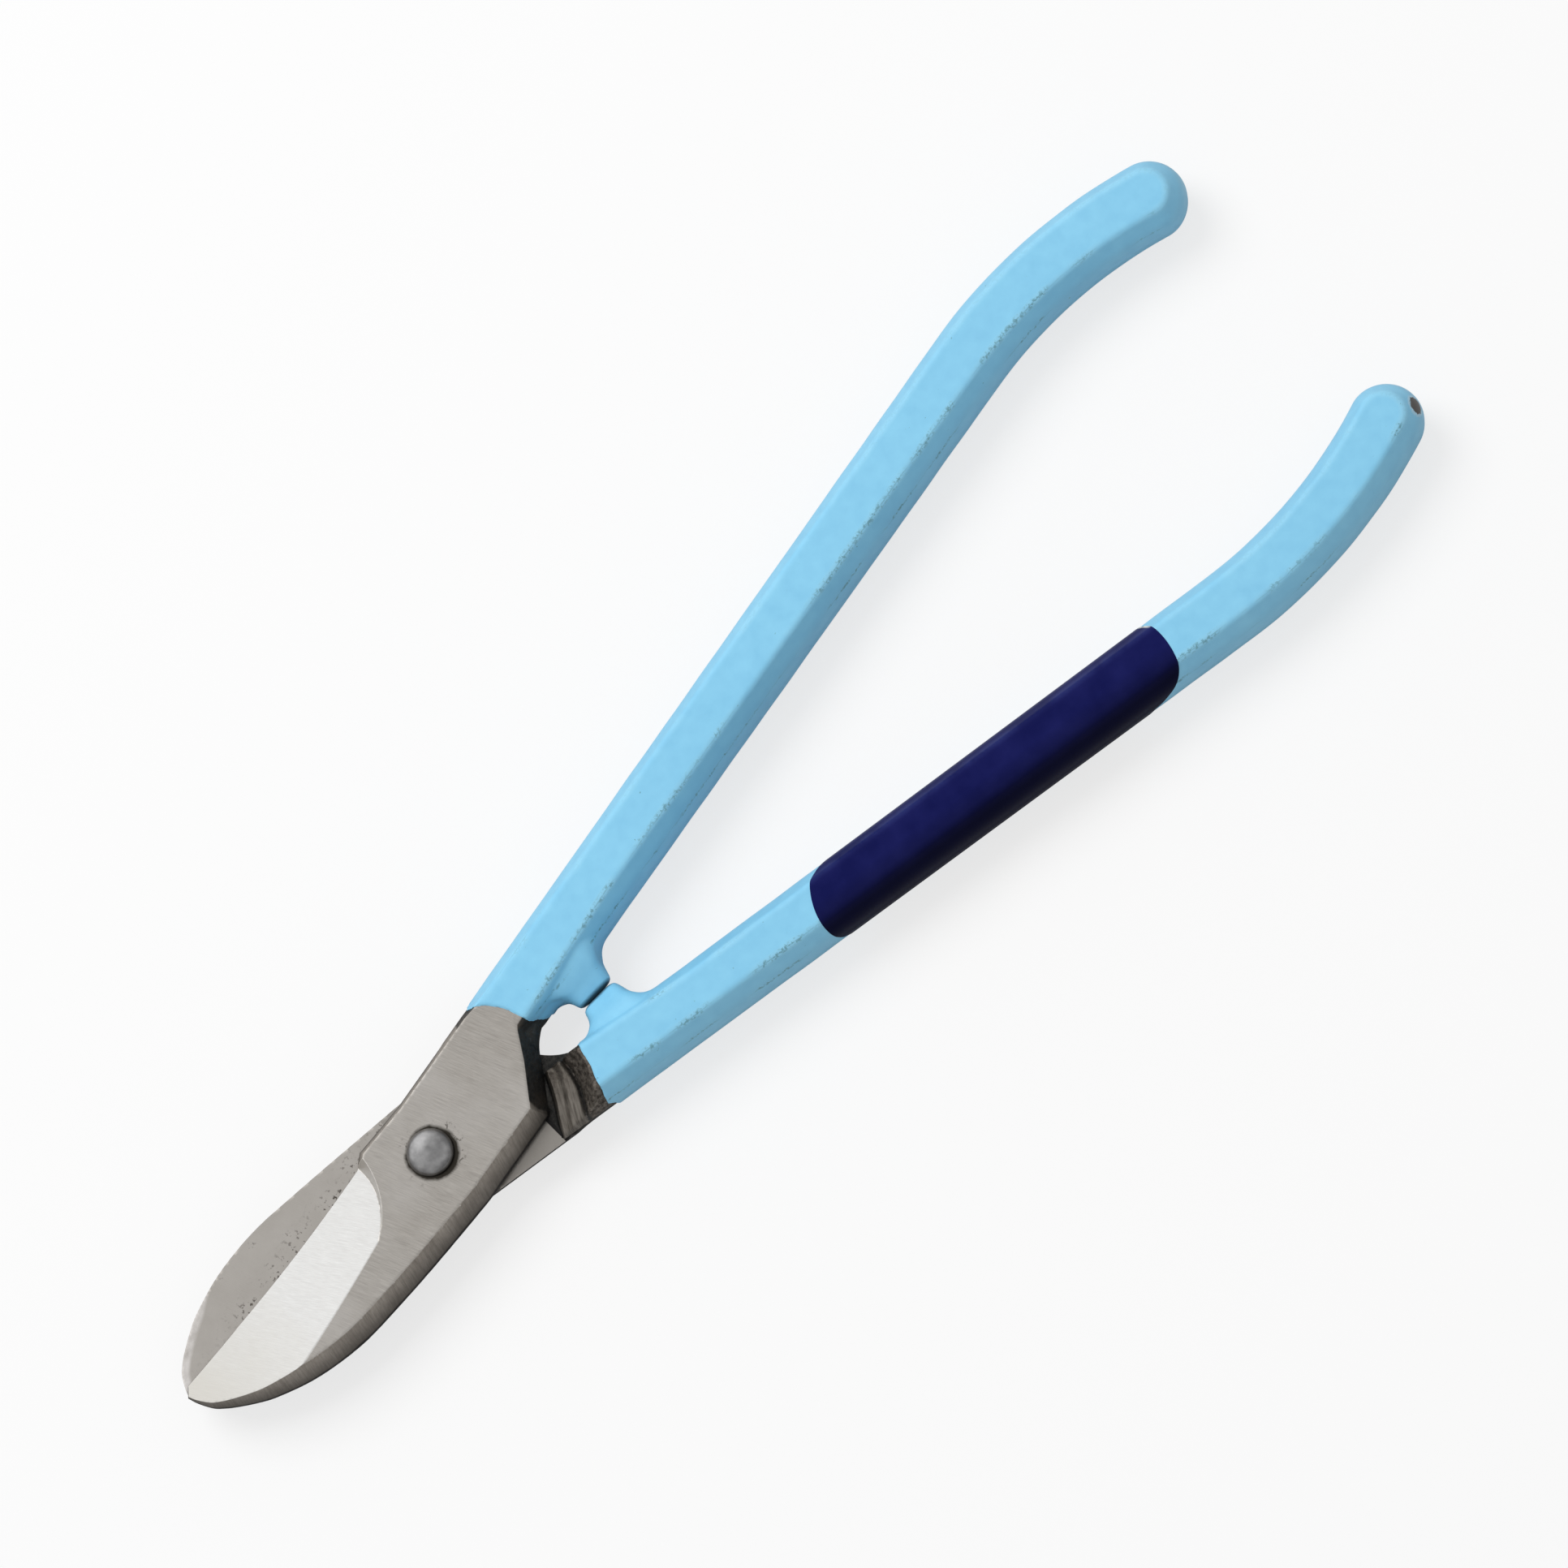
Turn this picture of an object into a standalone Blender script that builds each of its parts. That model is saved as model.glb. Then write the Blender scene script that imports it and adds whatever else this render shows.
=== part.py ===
"""Jewellers shears, seven inches long: two drop forged halves that turn on one rivet.

World frame: the pivot axis is Z, the blades point to -X and the handles to +X. The upper half has
its handle on the +Y side, and Z = 0 is the flat face of the rivet's tail, the lowest face.
Each half is built in its own frame: XY is the shear plane, +Z is the half's ground outer face, its
handle lies at +Y and its blade at -Y. The lower half is the same forging turned half a turn about X.
"""
import math

import bmesh
import bpy
from mathutils import Vector

# Clearances
seat_gap = 0.0003            # between pieces that touch, seat or slide on each other
overrun = 0.0010             # how far a cutter reaches past what it cuts

# Boss and blade plate of one half
boss_thickness = 0.0041      # shear plane to ground outer face
parting_band = 0.0007        # upright band where the forging's flash was trimmed
draft_inset = 0.0013         # how far the sides lean in above that band
blade_length = 0.0394        # pivot axis to blade tip
blade_half_width = 0.00932   # long axis to the spine, at the widest
waist_half_width = 0.00745   # long axis to the outer edge of the boss beside the pivot
waist_spine_half_width = 0.0078   # and to the edge that runs into the blade's spine
waist_x = 0.0009             # where the boss is narrowest
neck_corner_x = 0.0122       # corner of the boss behind the spine
neck_corner_y = -0.0059
neck_nose_x = 0.0164         # where the end wall of the boss meets the long axis
neck_nose_y = -0.0003
plate_end_radius = 0.0176    # round end of the ground face, about the pivot
plate_end_start = math.radians(5.2)
far_share = 3.0              # how far its sides run on before the round end cuts them

# Cutting edge and its ground bevel
heel_x = -0.0060             # shoulder of the boss above the cutting edge
heel_y = 0.00685
edge_heel_x = -0.0076        # where the cutting edge starts
edge_heel_y = 0.00565
edge_tip_setback = 0.0010    # from the blade's tip back to where the edge ends
edge_tip_y = 0.0011
edge_bow = 0.0003            # how far the edge sags between its ends
edge_land = 0.00025          # upright land under the bevel
bevel_width_heel = 0.0083    # across the bevel, from the edge to the outer face
bevel_width_tip = 0.0113
plunge_centre_x = -0.0171    # round end that the grinding wheel leaves beside the pivot
plunge_centre_y = 0.0060
plunge_radius = 0.0108
plunge_wall_lean = 0.0014    # how much smaller that round is at the shear plane
bevel_run_shares = (-0.35, 1.2)   # the cutter's run along the edge, past its heel and its tip
bevel_reach_share = 0.4      # and past the bevel's two sides
upper_tip_lean = 0.0011      # hand grinding leaves the two blades leaning the same way
lower_tip_lean = -0.0011

# Handle
handle_offset = 0.0033       # its centre line's distance from the pivot, measured along Y
handle_splay = math.radians(9.46)
handle_straight = 0.1079     # straight run of the centre line
handle_bend_radius = 0.060   # then it bends back inward
handle_bend = math.radians(27.0)
handle_width_neck = 0.0082
handle_width_end = 0.0090
lower_trim = 0.0003          # how much narrower the flash trimming left the lower handle
handle_half_thickness = 0.0043
handle_start = 0.0118        # along the centre line, buried in the boss
enamel_thickness = 0.0003
enamel_front_radius = plate_end_radius + seat_gap
enamel_back_radius = 0.0208  # where the enamel starts on the inner side
# width share and thickness share of the section, from the parting line to the flat
section_shares = ((1.0, 0.0), (0.985, 0.20), (0.95, 0.42), (0.90, 0.56), (0.66, 0.905), (0.59, 0.975),
                  (0.51, 1.0))

# Forged steps behind the boss, which clear the other half's nose
step_radius = math.hypot(neck_nose_x, neck_nose_y) + seat_gap
step_run = 0.00145
step_count = 3
step_riser_share = 0.7       # how much of each step's rise is upright

# Stop lug
lug_face_x = 0.0229          # start of its contact face
lug_face_length = 0.0050
lug_face_half_height = 0.0008
lug_root_half_height = 0.0029
lug_root_spread = 0.0021     # how much wider it is at the handle, each side
lug_flank_share = 0.30       # chamfer of its corners
lug_sink_share = 0.25        # how deep its root reaches into the handle, of the handle's width
lug_flare_share = 0.86       # where it is as high and as wide as it gets
# height share and spread share of the lug's rings, between its face and its root
lug_ring_shares = ((0.0, 0.0), (0.16, 0.26), (0.52, 0.38), (0.72, 0.60), (lug_flare_share, 1.0), (1.0, 1.0))

# Rivet
shank_radius = 0.0020
head_radius = 0.0028
head_height = 0.0014
head_crown_share = 0.42      # flattened top of the dome, as a share of its radius
head_rim_share = 0.15        # upright rim under the dome
tail_radius = 0.0030
tail_height = 0.0010
tail_face_share = 0.76

# Label film
label_start = 0.0502         # along the handle's centre line
label_length = 0.0515
label_end_round = 0.0110     # radius of its ends when it lies flat
label_film = 0.0002
label_skirt = 0.0012         # how far it comes down past the parting line
# How far its front end sets back, across the handle from the inner side to the outer side: places
# as shares of the handle's half width, setbacks as shares of the round. The film is stuck on a
# little askew, so its rear end sets back the other way about.
label_end_shares = ((1.3, 0.80), (1.0, 0.55), (0.93, 0.32), (0.5, 0.12), (0.0, 0.03), (-0.5, 0.0),
                    (-0.93, 0.06), (-1.0, 0.12), (-1.3, 0.25))

# Facets
round_segments = 32
bend_segments = 9
end_segments = 12
spine_steps = 3
dome_rings = 6

face_z = seat_gap / 2
edge_tip_x = edge_tip_setback - blade_length
shear_height = boss_thickness + seat_gap + tail_height

# Half widths of the spine as shares of blade_half_width, against shares of blade_length
spine_shares = ((0.072, 0.874), (0.259, 0.941), (0.400, 0.980), (0.510, 1.0), (0.611, 0.968),
                (0.712, 0.888), (0.814, 0.740), (0.866, 0.627), (0.916, 0.491), (0.944, 0.400),
                (0.968, 0.300), (0.990, 0.130), (1.0, 0.0))


def clear_scene():
    for old in list(bpy.data.objects):
        bpy.data.objects.remove(old, do_unlink=True)


def new_material(name, colour, roughness, metallic):
    material = bpy.data.materials.new(name)
    material.use_nodes = True
    shader = material.node_tree.nodes["Principled BSDF"]
    shader.inputs["Base Color"].default_value = (*colour, 1.0)
    shader.inputs["Roughness"].default_value = roughness
    shader.inputs["Metallic"].default_value = metallic
    return material


def new_frame(name, height, turn, parent=None):
    """An empty that carries the pieces built in one frame."""
    frame = bpy.data.objects.new(name, None)
    bpy.context.collection.objects.link(frame)
    frame.location = (0.0, 0.0, height)
    frame.rotation_euler = (turn, 0.0, 0.0)
    frame.parent = parent
    return frame


def ring_solid(name, rings, frame, material=None):
    """A closed solid through loops of points, each loop as long as the next, with flat caps."""
    shape = bmesh.new()
    loops = [[shape.verts.new(point) for point in ring] for ring in rings]
    count = len(loops[0])
    for low, high in zip(loops, loops[1:]):
        for index in range(count):
            after = (index + 1) % count
            shape.faces.new((low[index], low[after], high[after], high[index]))
    shape.faces.new(list(reversed(loops[0])))
    shape.faces.new(loops[-1])
    bmesh.ops.recalc_face_normals(shape, faces=shape.faces)
    mesh = bpy.data.meshes.new(name)
    shape.to_mesh(mesh)
    shape.free()
    if material:
        mesh.materials.append(material)
    piece = bpy.data.objects.new(name, mesh)
    bpy.context.collection.objects.link(piece)
    piece.parent = frame
    return piece


def turned_solid(name, profile, frame, material=None):
    """A solid of revolution about Z through (radius, height) points, none of them on the axis."""
    rings = []
    for radius, height in profile:
        turns = (2 * math.pi * index / round_segments for index in range(round_segments))
        rings.append([(radius * math.cos(turn), radius * math.sin(turn), height) for turn in turns])
    return ring_solid(name, rings, frame, material)


def combine(piece, tool, operation):
    """Joins, cuts or keeps the overlap with a tool, which stays as a hidden guide."""
    step = piece.modifiers.new(tool.name, 'BOOLEAN')
    step.operation = operation
    step.solver = 'EXACT'
    step.object = tool
    tool.hide_render = True
    tool.display_type = 'WIRE'


def inset_outline(points, distance):
    """The anticlockwise outline moved inward by the distance, corner by corner."""
    moved = []
    for index, here in enumerate(points):
        before = (here - points[index - 1]).normalized()
        after = (points[(index + 1) % len(points)] - here).normalized()
        normal_before = Vector((-before.y, before.x))
        normal_after = Vector((-after.y, after.x))
        corner = (normal_before + normal_after) / (1 + normal_before.dot(normal_after))
        moved.append(here + corner * distance)
    return moved


def smooth_through(points, steps):
    """Points along a Catmull-Rom curve through the given ones."""
    padded = [2 * points[0] - points[1], *points, 2 * points[-1] - points[-2]]
    curve = []
    for before, start, end, after in zip(padded, padded[1:], padded[2:], padded[3:]):
        for step in range(steps):
            t = step / steps
            curve.append(0.5 * (2 * start + (end - before) * t
                                + (2 * before - 5 * start + 4 * end - after) * t ** 2
                                + (3 * start - before - 3 * end + after) * t ** 3))
    return curve + [points[-1]]


def at_height(points, height):
    return [(point.x, point.y, height) for point in points]


def blade_lean(x, tip_lean):
    return tip_lean * (min(x, 0.0) / blade_length) ** 2


def edge_point(share):
    """A point of the cutting edge: share 0 at its heel, 1 at its tip."""
    x = edge_heel_x + (edge_tip_x - edge_heel_x) * share
    y = edge_heel_y + (edge_tip_y - edge_heel_y) * share - edge_bow * 4 * share * (1 - share)
    return Vector((x, y))


def circle_meeting(start, toward, radius):
    """Where the ray from start through toward leaves the circle about the pivot."""
    along = (toward - start).normalized()
    half_b = start.dot(along)
    return start + along * (math.sqrt(half_b ** 2 - start.length_squared + radius ** 2) - half_b)


def blade_inward(point, inset):
    """A point of the blade's spine or edge moved in by the draft, fading out towards the tip."""
    along = -point.x / blade_length
    if point.y > 0.0:
        return Vector((point.x + inset * along ** 3, point.y - inset))
    return Vector((point.x + inset * along ** 3, point.y + inset * math.sqrt(-point.y / blade_half_width)))


def plate_outline(tip_lean, inset):
    """Outline of the boss and blade, moved in by the draft; its round end keeps its radius."""
    edge = [edge_point(index / bend_segments) for index in range(bend_segments + 1)]
    spine = smooth_through([Vector((-blade_length * along, -blade_half_width * out))
                            for along, out in spine_shares], spine_steps)
    nose = Vector((neck_nose_x, neck_nose_y))
    throat = plate_end_radius * Vector((math.cos(plate_end_start), math.sin(plate_end_start)))
    waist = Vector((waist_x, waist_half_width))
    outward = Vector((math.cos(handle_splay), math.sin(handle_splay)))
    body = [spine[0], Vector((waist_x, -waist_spine_half_width)), Vector((neck_corner_x, neck_corner_y)),
            nose, nose + (throat - nose) * far_share, waist + outward * plate_end_radius * far_share, waist,
            Vector((heel_x, heel_y)), edge[0], edge[1]]
    root, corner, nose, far_nose, far_waist, waist, heel, edge_heel = inset_outline(body, inset)[1:-1]
    start = circle_meeting(nose, far_nose, plate_end_radius)
    stop = circle_meeting(waist, far_waist, plate_end_radius)
    first, last = math.atan2(start.y, start.x), math.atan2(stop.y, stop.x)
    turns = [first + (last - first) * index / end_segments for index in range(end_segments + 1)]
    points = [root, corner, nose]
    points += [plate_end_radius * Vector((math.cos(turn), math.sin(turn))) for turn in turns]
    points += [waist, heel, edge_heel]
    points += [blade_inward(point, inset) for point in edge[1:] + list(reversed(spine))]
    return [Vector((point.x, point.y + blade_lean(point.x, tip_lean))) for point in points]


def handle_line(trim):
    """Stations of the handle's centre line: point, direction, half width."""
    direction = handle_splay
    root = Vector((0.0, handle_offset))
    along = Vector((math.cos(direction), math.sin(direction)))
    total = handle_straight + handle_bend_radius * handle_bend
    stations = [(root + along * handle_start, direction, handle_start),
                (root + along * handle_straight, direction, handle_straight)]
    centre = stations[1][0] + handle_bend_radius * Vector((along.y, -along.x))
    for index in range(1, bend_segments + 1):
        turn = handle_bend * index / bend_segments
        direction = handle_splay - turn
        point = centre + handle_bend_radius * Vector((-math.sin(direction), math.cos(direction)))
        stations.append((point, direction, handle_straight + handle_bend_radius * turn))
    widths = [handle_width_neck + (handle_width_end - handle_width_neck) * run / total - trim
              for _, _, run in stations]
    return [(point, turn, width / 2) for (point, turn, _), width in zip(stations, widths)]


def handle_outline(inset, trim, width_share):
    """Plan of the handle at one level: down one side, round the end, back up the other."""
    stations = handle_line(trim)
    near_side, far_side = [], []
    for point, turn, half_width in stations:
        out = Vector((-math.sin(turn), math.cos(turn))) * (half_width - inset) * width_share
        near_side.append(point - out)
        far_side.append(point + out)
    end_point, end_turn, end_half_width = stations[-1]
    round_end = []
    for index in range(1, end_segments):
        turn = end_turn - math.pi / 2 + math.pi * index / end_segments
        reach = Vector((math.cos(turn), math.sin(turn))) * (end_half_width - inset) * width_share
        round_end.append(end_point + reach)
    return near_side + round_end + list(reversed(far_side))


def handle_bar(name, frame, inset, trim, material=None):
    """The handle, all its faces moved in by the inset."""
    half_thickness = handle_half_thickness - inset
    upward = [(width_share, half_thickness * rise) for width_share, rise in section_shares]
    levels = [(width_share, -height) for width_share, height in reversed(upward[1:])] + upward
    rings = [at_height(handle_outline(inset, trim, width_share), height) for width_share, height in levels]
    return ring_solid(name, rings, frame, material)


def stop_lug(name, frame, inset):
    """The lug on the handle's inner side, from its contact face up into the handle."""
    face_y = seat_gap / 2 + inset
    sink = handle_width_neck * lug_sink_share
    rings = []
    for rise, spread in lug_ring_shares:
        flare = (lug_root_half_height - lug_face_half_height) * min(rise / lug_flare_share, 1.0)
        grow = lug_face_half_height + flare - inset
        soft = grow * lug_flank_share
        left = lug_face_x - lug_root_spread * spread + inset
        right = lug_face_x + lug_face_length + lug_root_spread * spread - inset
        ring = []
        for x, z in ((left, soft - grow), (left + soft, -grow), (right - soft, -grow), (right, soft - grow),
                     (right, grow - soft), (right - soft, grow), (left + soft, grow), (left, grow - soft)):
            root_y = handle_offset + x * math.tan(handle_splay) - sink
            ring.append((x, face_y + (root_y - face_y) * rise, z))
        rings.append(ring)
    return ring_solid(name, rings, frame)


def step_cutter(name, frame, half_thickness):
    """Turned tool that leaves rising steps on the inner side of the handle's root."""
    top = face_z + overrun
    profile = [(step_radius, top)]
    rise = (half_thickness + face_z) / step_count
    for index in range(step_count):
        radius = step_radius + step_run * index
        riser_foot = face_z - rise * (index + step_riser_share)
        tread_end = face_z - rise * (index + 1)
        profile.append((radius, riser_foot))
        if index < step_count - 1:
            profile.append((radius + step_run, tread_end))
    last = step_radius + step_run * (step_count - 1)
    profile.append((last, -half_thickness - overrun))
    return turned_solid(name, profile, frame)


def bevel_cutter(name, frame, tip_lean):
    """What the grinding wheel takes off above the cutting edge."""
    first, last = bevel_run_shares
    stations = [first + (last - first) * index / bend_segments for index in range(bend_segments + 1)]
    reach = bevel_reach_share
    rings = []
    for share in stations:
        edge = edge_point(min(max(share, 0.0), 1.0))
        x = edge_heel_x + (edge_tip_x - edge_heel_x) * share
        y = edge.y + blade_lean(x, tip_lean)
        width = bevel_width_heel + (bevel_width_tip - bevel_width_heel) * share
        foot = face_z + edge_land
        rise = boss_thickness - foot
        rings.append([(x, y + width * reach, foot - rise * reach),
                      (x, y - width * (1 + reach), boss_thickness + rise * reach),
                      (x, y + width * reach, boss_thickness + rise * reach)])
    wedge = ring_solid(name, rings, frame)
    far_x = -blade_length - plunge_radius
    levels = []
    for height in (face_z - boss_thickness, boss_thickness * 2):
        radius = plunge_radius - plunge_wall_lean * (boss_thickness - height) / boss_thickness
        centre = Vector((plunge_centre_x, plunge_centre_y))
        turns = [math.pi * (index / end_segments - 0.5) for index in range(end_segments + 1)]
        points = [centre + radius * Vector((math.cos(turn), math.sin(turn))) for turn in turns]
        points += [Vector((far_x, centre.y + radius)), Vector((far_x, -2 * blade_half_width))]
        levels.append(at_height(points, height))
    wheel = ring_solid(name + "_wheel", levels, frame)
    combine(wedge, wheel, 'INTERSECT')
    return wedge


def build_half(side, frame, tip_lean, trim, steel):
    """One forging: handle bar, stop lug and plate in one piece, with its bore and ground bevel."""
    inset = enamel_thickness + seat_gap
    half = handle_bar(side + "_half_forging", frame, inset, trim, steel)
    combine(half, step_cutter(side + "_steps", frame, handle_half_thickness - inset), 'DIFFERENCE')
    levels = ((0.0, face_z), (0.0, face_z + parting_band), (draft_inset, boss_thickness))
    rings = [at_height(plate_outline(tip_lean, inward), height) for inward, height in levels]
    plate = ring_solid(side + "_plate", rings, frame)
    combine(half, plate, 'UNION')
    combine(half, stop_lug(side + "_lug", frame, inset), 'UNION')
    bore_radius = shank_radius + seat_gap
    bore_ends = ((bore_radius, -overrun), (bore_radius, boss_thickness + overrun))
    bore = turned_solid(side + "_bore", bore_ends, frame)
    combine(half, bore, 'DIFFERENCE')
    combine(half, bevel_cutter(side + "_bevel", frame, tip_lean), 'DIFFERENCE')
    return half


def build_enamel(side, frame, trim, enamel):
    """The baked enamel skin over the handle and its lug, open at the neck."""
    coat = handle_bar(side + "_handle_enamel", frame, 0.0, trim, enamel)
    combine(coat, stop_lug(side + "_lug_enamel", frame, 0.0), 'UNION')
    core = handle_bar(side + "_core", frame, enamel_thickness, trim)
    combine(core, stop_lug(side + "_lug_core", frame, enamel_thickness), 'UNION')
    combine(coat, core, 'DIFFERENCE')
    beyond = handle_half_thickness + overrun
    mask = turned_solid(side + "_mask", ((enamel_back_radius, -beyond), (enamel_back_radius, parting_band),
                                         (enamel_front_radius, boss_thickness / 2),
                                         (enamel_front_radius, beyond)), frame)
    combine(coat, mask, 'DIFFERENCE')
    return coat


def build_rivet(frame, steel):
    """Pivot rivet: domed head on the upper half, shank, and a tail peened flat under the lower half."""
    seat = boss_thickness + seat_gap
    tail_face = tail_radius * tail_face_share
    profile = [(tail_face, -seat - tail_height), (tail_radius, -seat - tail_height / 2), (tail_radius, -seat),
               (shank_radius, -seat), (shank_radius, seat), (head_radius, seat)]
    rim = head_height * head_rim_share
    crown_turn = math.acos(head_crown_share)
    for index in range(dome_rings):
        turn = crown_turn * index / (dome_rings - 1)
        rise = math.sin(turn) / math.sin(crown_turn)
        profile.append((head_radius * math.cos(turn), seat + rim + (head_height - rim) * rise))
    return turned_solid("pivot_rivet", profile, frame, steel)


def build_label(frame, film):
    """Printed film wrapped over the flat and the sides of the lower handle, with round ends.

    The lower half's frame looks out of its far side, so the film lies on that frame's -Z side.
    """
    inner_inset = -seat_gap
    label = handle_bar("handle_label", frame, inner_inset - label_film, lower_trim, film)
    combine(label, handle_bar("label_core", frame, inner_inset, lower_trim), 'DIFFERENCE')
    along = Vector((math.cos(handle_splay), math.sin(handle_splay)))
    across = Vector((along.y, -along.x))
    front = Vector((0.0, handle_offset)) + along * label_start
    half_width = handle_width_neck / 2
    outline = [front + along * label_end_round * back + across * half_width * out
               for out, back in label_end_shares]
    outline += [front + along * (label_length - label_end_round * back) - across * half_width * out
                for out, back in label_end_shares]
    window = ring_solid("label_window", [at_height(outline, -handle_half_thickness - 2 * overrun),
                                         at_height(outline, label_skirt)], frame)
    combine(label, window, 'INTERSECT')
    return label


clear_scene()
bright_steel = new_material("bright_steel", (0.36, 0.35, 0.33), 0.38, 1.0)
rivet_steel = new_material("rivet_steel", (0.28, 0.28, 0.29), 0.34, 1.0)
blue_enamel = new_material("blue_enamel", (0.26, 0.62, 0.86), 0.35, 0.0)
navy_film = new_material("navy_film", (0.012, 0.011, 0.10), 0.25, 0.0)

pivot_axis = new_frame("pivot_axis", shear_height, 0.0)
upper_frame = new_frame("upper_frame", 0.0, 0.0, pivot_axis)
lower_frame = new_frame("lower_frame", 0.0, math.pi, pivot_axis)

build_half("upper", upper_frame, upper_tip_lean, 0.0, bright_steel)
build_half("lower", lower_frame, lower_tip_lean, lower_trim, bright_steel)
build_enamel("upper", upper_frame, 0.0, blue_enamel)
build_enamel("lower", lower_frame, lower_trim, blue_enamel)
build_rivet(pivot_axis, rivet_steel)
build_label(lower_frame, navy_film)
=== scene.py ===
"""Jewellers shears: two drop forged halves on one rivet, enamelled handles, a film label.

Everything is in metres in the frame of the solids: the pivot axis is Z, the blades point to -X and
the handles to +X, and Z = 0 is the flat face of the rivet's tail.
"""
import math

import bpy
import numpy as np
from mathutils import Matrix, Vector


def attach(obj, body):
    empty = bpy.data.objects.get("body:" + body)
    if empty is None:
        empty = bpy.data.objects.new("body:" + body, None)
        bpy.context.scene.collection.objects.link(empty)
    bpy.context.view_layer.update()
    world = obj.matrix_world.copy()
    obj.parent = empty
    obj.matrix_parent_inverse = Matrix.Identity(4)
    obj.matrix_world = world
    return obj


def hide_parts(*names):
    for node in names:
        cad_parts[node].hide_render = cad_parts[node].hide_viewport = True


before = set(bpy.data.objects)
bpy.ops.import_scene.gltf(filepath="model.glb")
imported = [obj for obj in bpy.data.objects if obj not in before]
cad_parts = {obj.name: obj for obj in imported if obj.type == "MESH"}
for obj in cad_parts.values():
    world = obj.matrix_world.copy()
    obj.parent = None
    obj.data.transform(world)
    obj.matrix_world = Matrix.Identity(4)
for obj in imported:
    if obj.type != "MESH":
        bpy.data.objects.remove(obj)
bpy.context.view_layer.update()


# The two forged halves. Each is one drop forging of carbon steel: blade, boss, handle and stop lug.
# The dies leave drafted sides with black scale, the flash is trimmed round the parting line, and then
# the boss faces and the cutting bevel are ground bright. Both halves come from the same dies.
seat_height = 0.0054          # the plane that the halves slide on, above the rivet's tail face
seat_clearance = 0.00015      # each half's seat face stands off that plane
boss_thickness = 0.0041
parting_band = 0.0007
draft_inset = 0.0013
draft_cosine = 0.95           # about that of the drafted side's lean
blade_length = 0.0394
blade_half_width = 0.00932
tip_lean = 0.0011
heel = (-0.0060, 0.00685)
edge_heel = (-0.0076, 0.00565)
edge_tip = (-0.0384, 0.0011)
edge_bow = 0.0003
edge_land = 0.00022
tip_land = 0.0006             # how much stouter the edge is left at the tip
bevel_width_heel = 0.0075
bevel_width_gain = 0.0033
wheel_centre = (-0.0167, 0.0064)
wheel_radius = 0.0108
wheel_lean = 0.0016
wheel_run_out = 0.0055        # how far behind its centre the wheel's round ends in the straight bevel
waist = (0.0009, 0.00745)
spine_waist = (0.0009, -0.0078)
neck_corner = (0.0122, -0.0059)
nose_throat = (0.0186, 0.00263)
plate_end = 0.034             # the plate's sides run on into the handle and sink in it
plate_sink_start = 0.0140
plate_sink = 0.12
neck_swell = 0.0008           # how much wider the handle's flat is where it leaves the boss
neck_swell_end = 0.035
neck_swell_run = 0.017
bore_radius = 0.00205
spine_stations = ((0.072, 0.874), (0.259, 0.941), (0.400, 0.980), (0.510, 1.0), (0.611, 0.968),
                  (0.712, 0.888), (0.814, 0.740), (0.866, 0.627), (0.916, 0.491), (0.944, 0.400),
                  (0.968, 0.300), (0.990, 0.130), (1.0, 0.0))
handle_offset = 0.0033
handle_splay = math.radians(9.46)
handle_straight = 0.1079
handle_bend_radius = 0.060
handle_bend = math.radians(27.0)
handle_run = handle_straight + handle_bend_radius * handle_bend
handle_root = 0.0105          # where the bar starts, buried in the boss
handle_width_neck = 0.0082
handle_width_gain = 0.0008
handle_half_thickness = 0.0043
lower_trim = 0.0003
wall_draft = math.radians(6.0)
chamfer_tilt = math.radians(36.1)
chamfer_rise = 0.00106        # how far the chamfer stands off the corner of the flat and the wall
parting_softness = 0.00025
crease_low = 0.0005           # widths over which the creases are rounded
crease_top = 0.0004
lug_middle = 0.02575
lug_half_length = 0.00245
lug_spread = 0.20             # how fast its ends splay towards the handle
lug_face = 0.00001
lug_face_half_height = 0.00075
lug_rise = 0.66
lug_depth = 0.0062
lug_round = 0.0006
lug_fillet = 0.0021
lug_top = 0.0039
throat_fillet = 0.0024
coat_thickness = 0.00024
core_start = 0.0215
core_set_back = 0.00002       # the forged bar stands proud of the plain core behind it by twice this
forging_step = 0.00018
core_step = 0.0006
crease_angle = math.radians(32)
forging_box = (-0.0408, -0.0112, -0.0048), (0.0232, 0.0132, 0.0048)   # where its surface is looked for


def soft_max(a, b, width):
    """The larger of two distances, with the crease between them rounded over that width."""
    return np.maximum(a, b) + np.maximum(width - np.abs(a - b), 0.0) ** 2 / (4 * width)


def soft_min(a, b, width):
    return -soft_max(-a, -b, width)


def smooth_step(low, high, value):
    share = np.clip((value - low) / (high - low), 0.0, 1.0)
    return share * share * (3 - 2 * share)


def ripple(x, y, z, size, seed):
    """Uneven hand of forging and dipping, from -1 to 1."""
    total = 0.0
    for index in range(5):
        turn = 2.4 * index + seed
        lift = 0.7 * math.sin(1.9 * index + 2 * seed)
        across = x * math.cos(turn) + y * math.sin(turn) + z * lift
        total += np.sin(across * (1 + 0.37 * index) / size + 1.7 * index + seed)
    return total / 5


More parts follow.
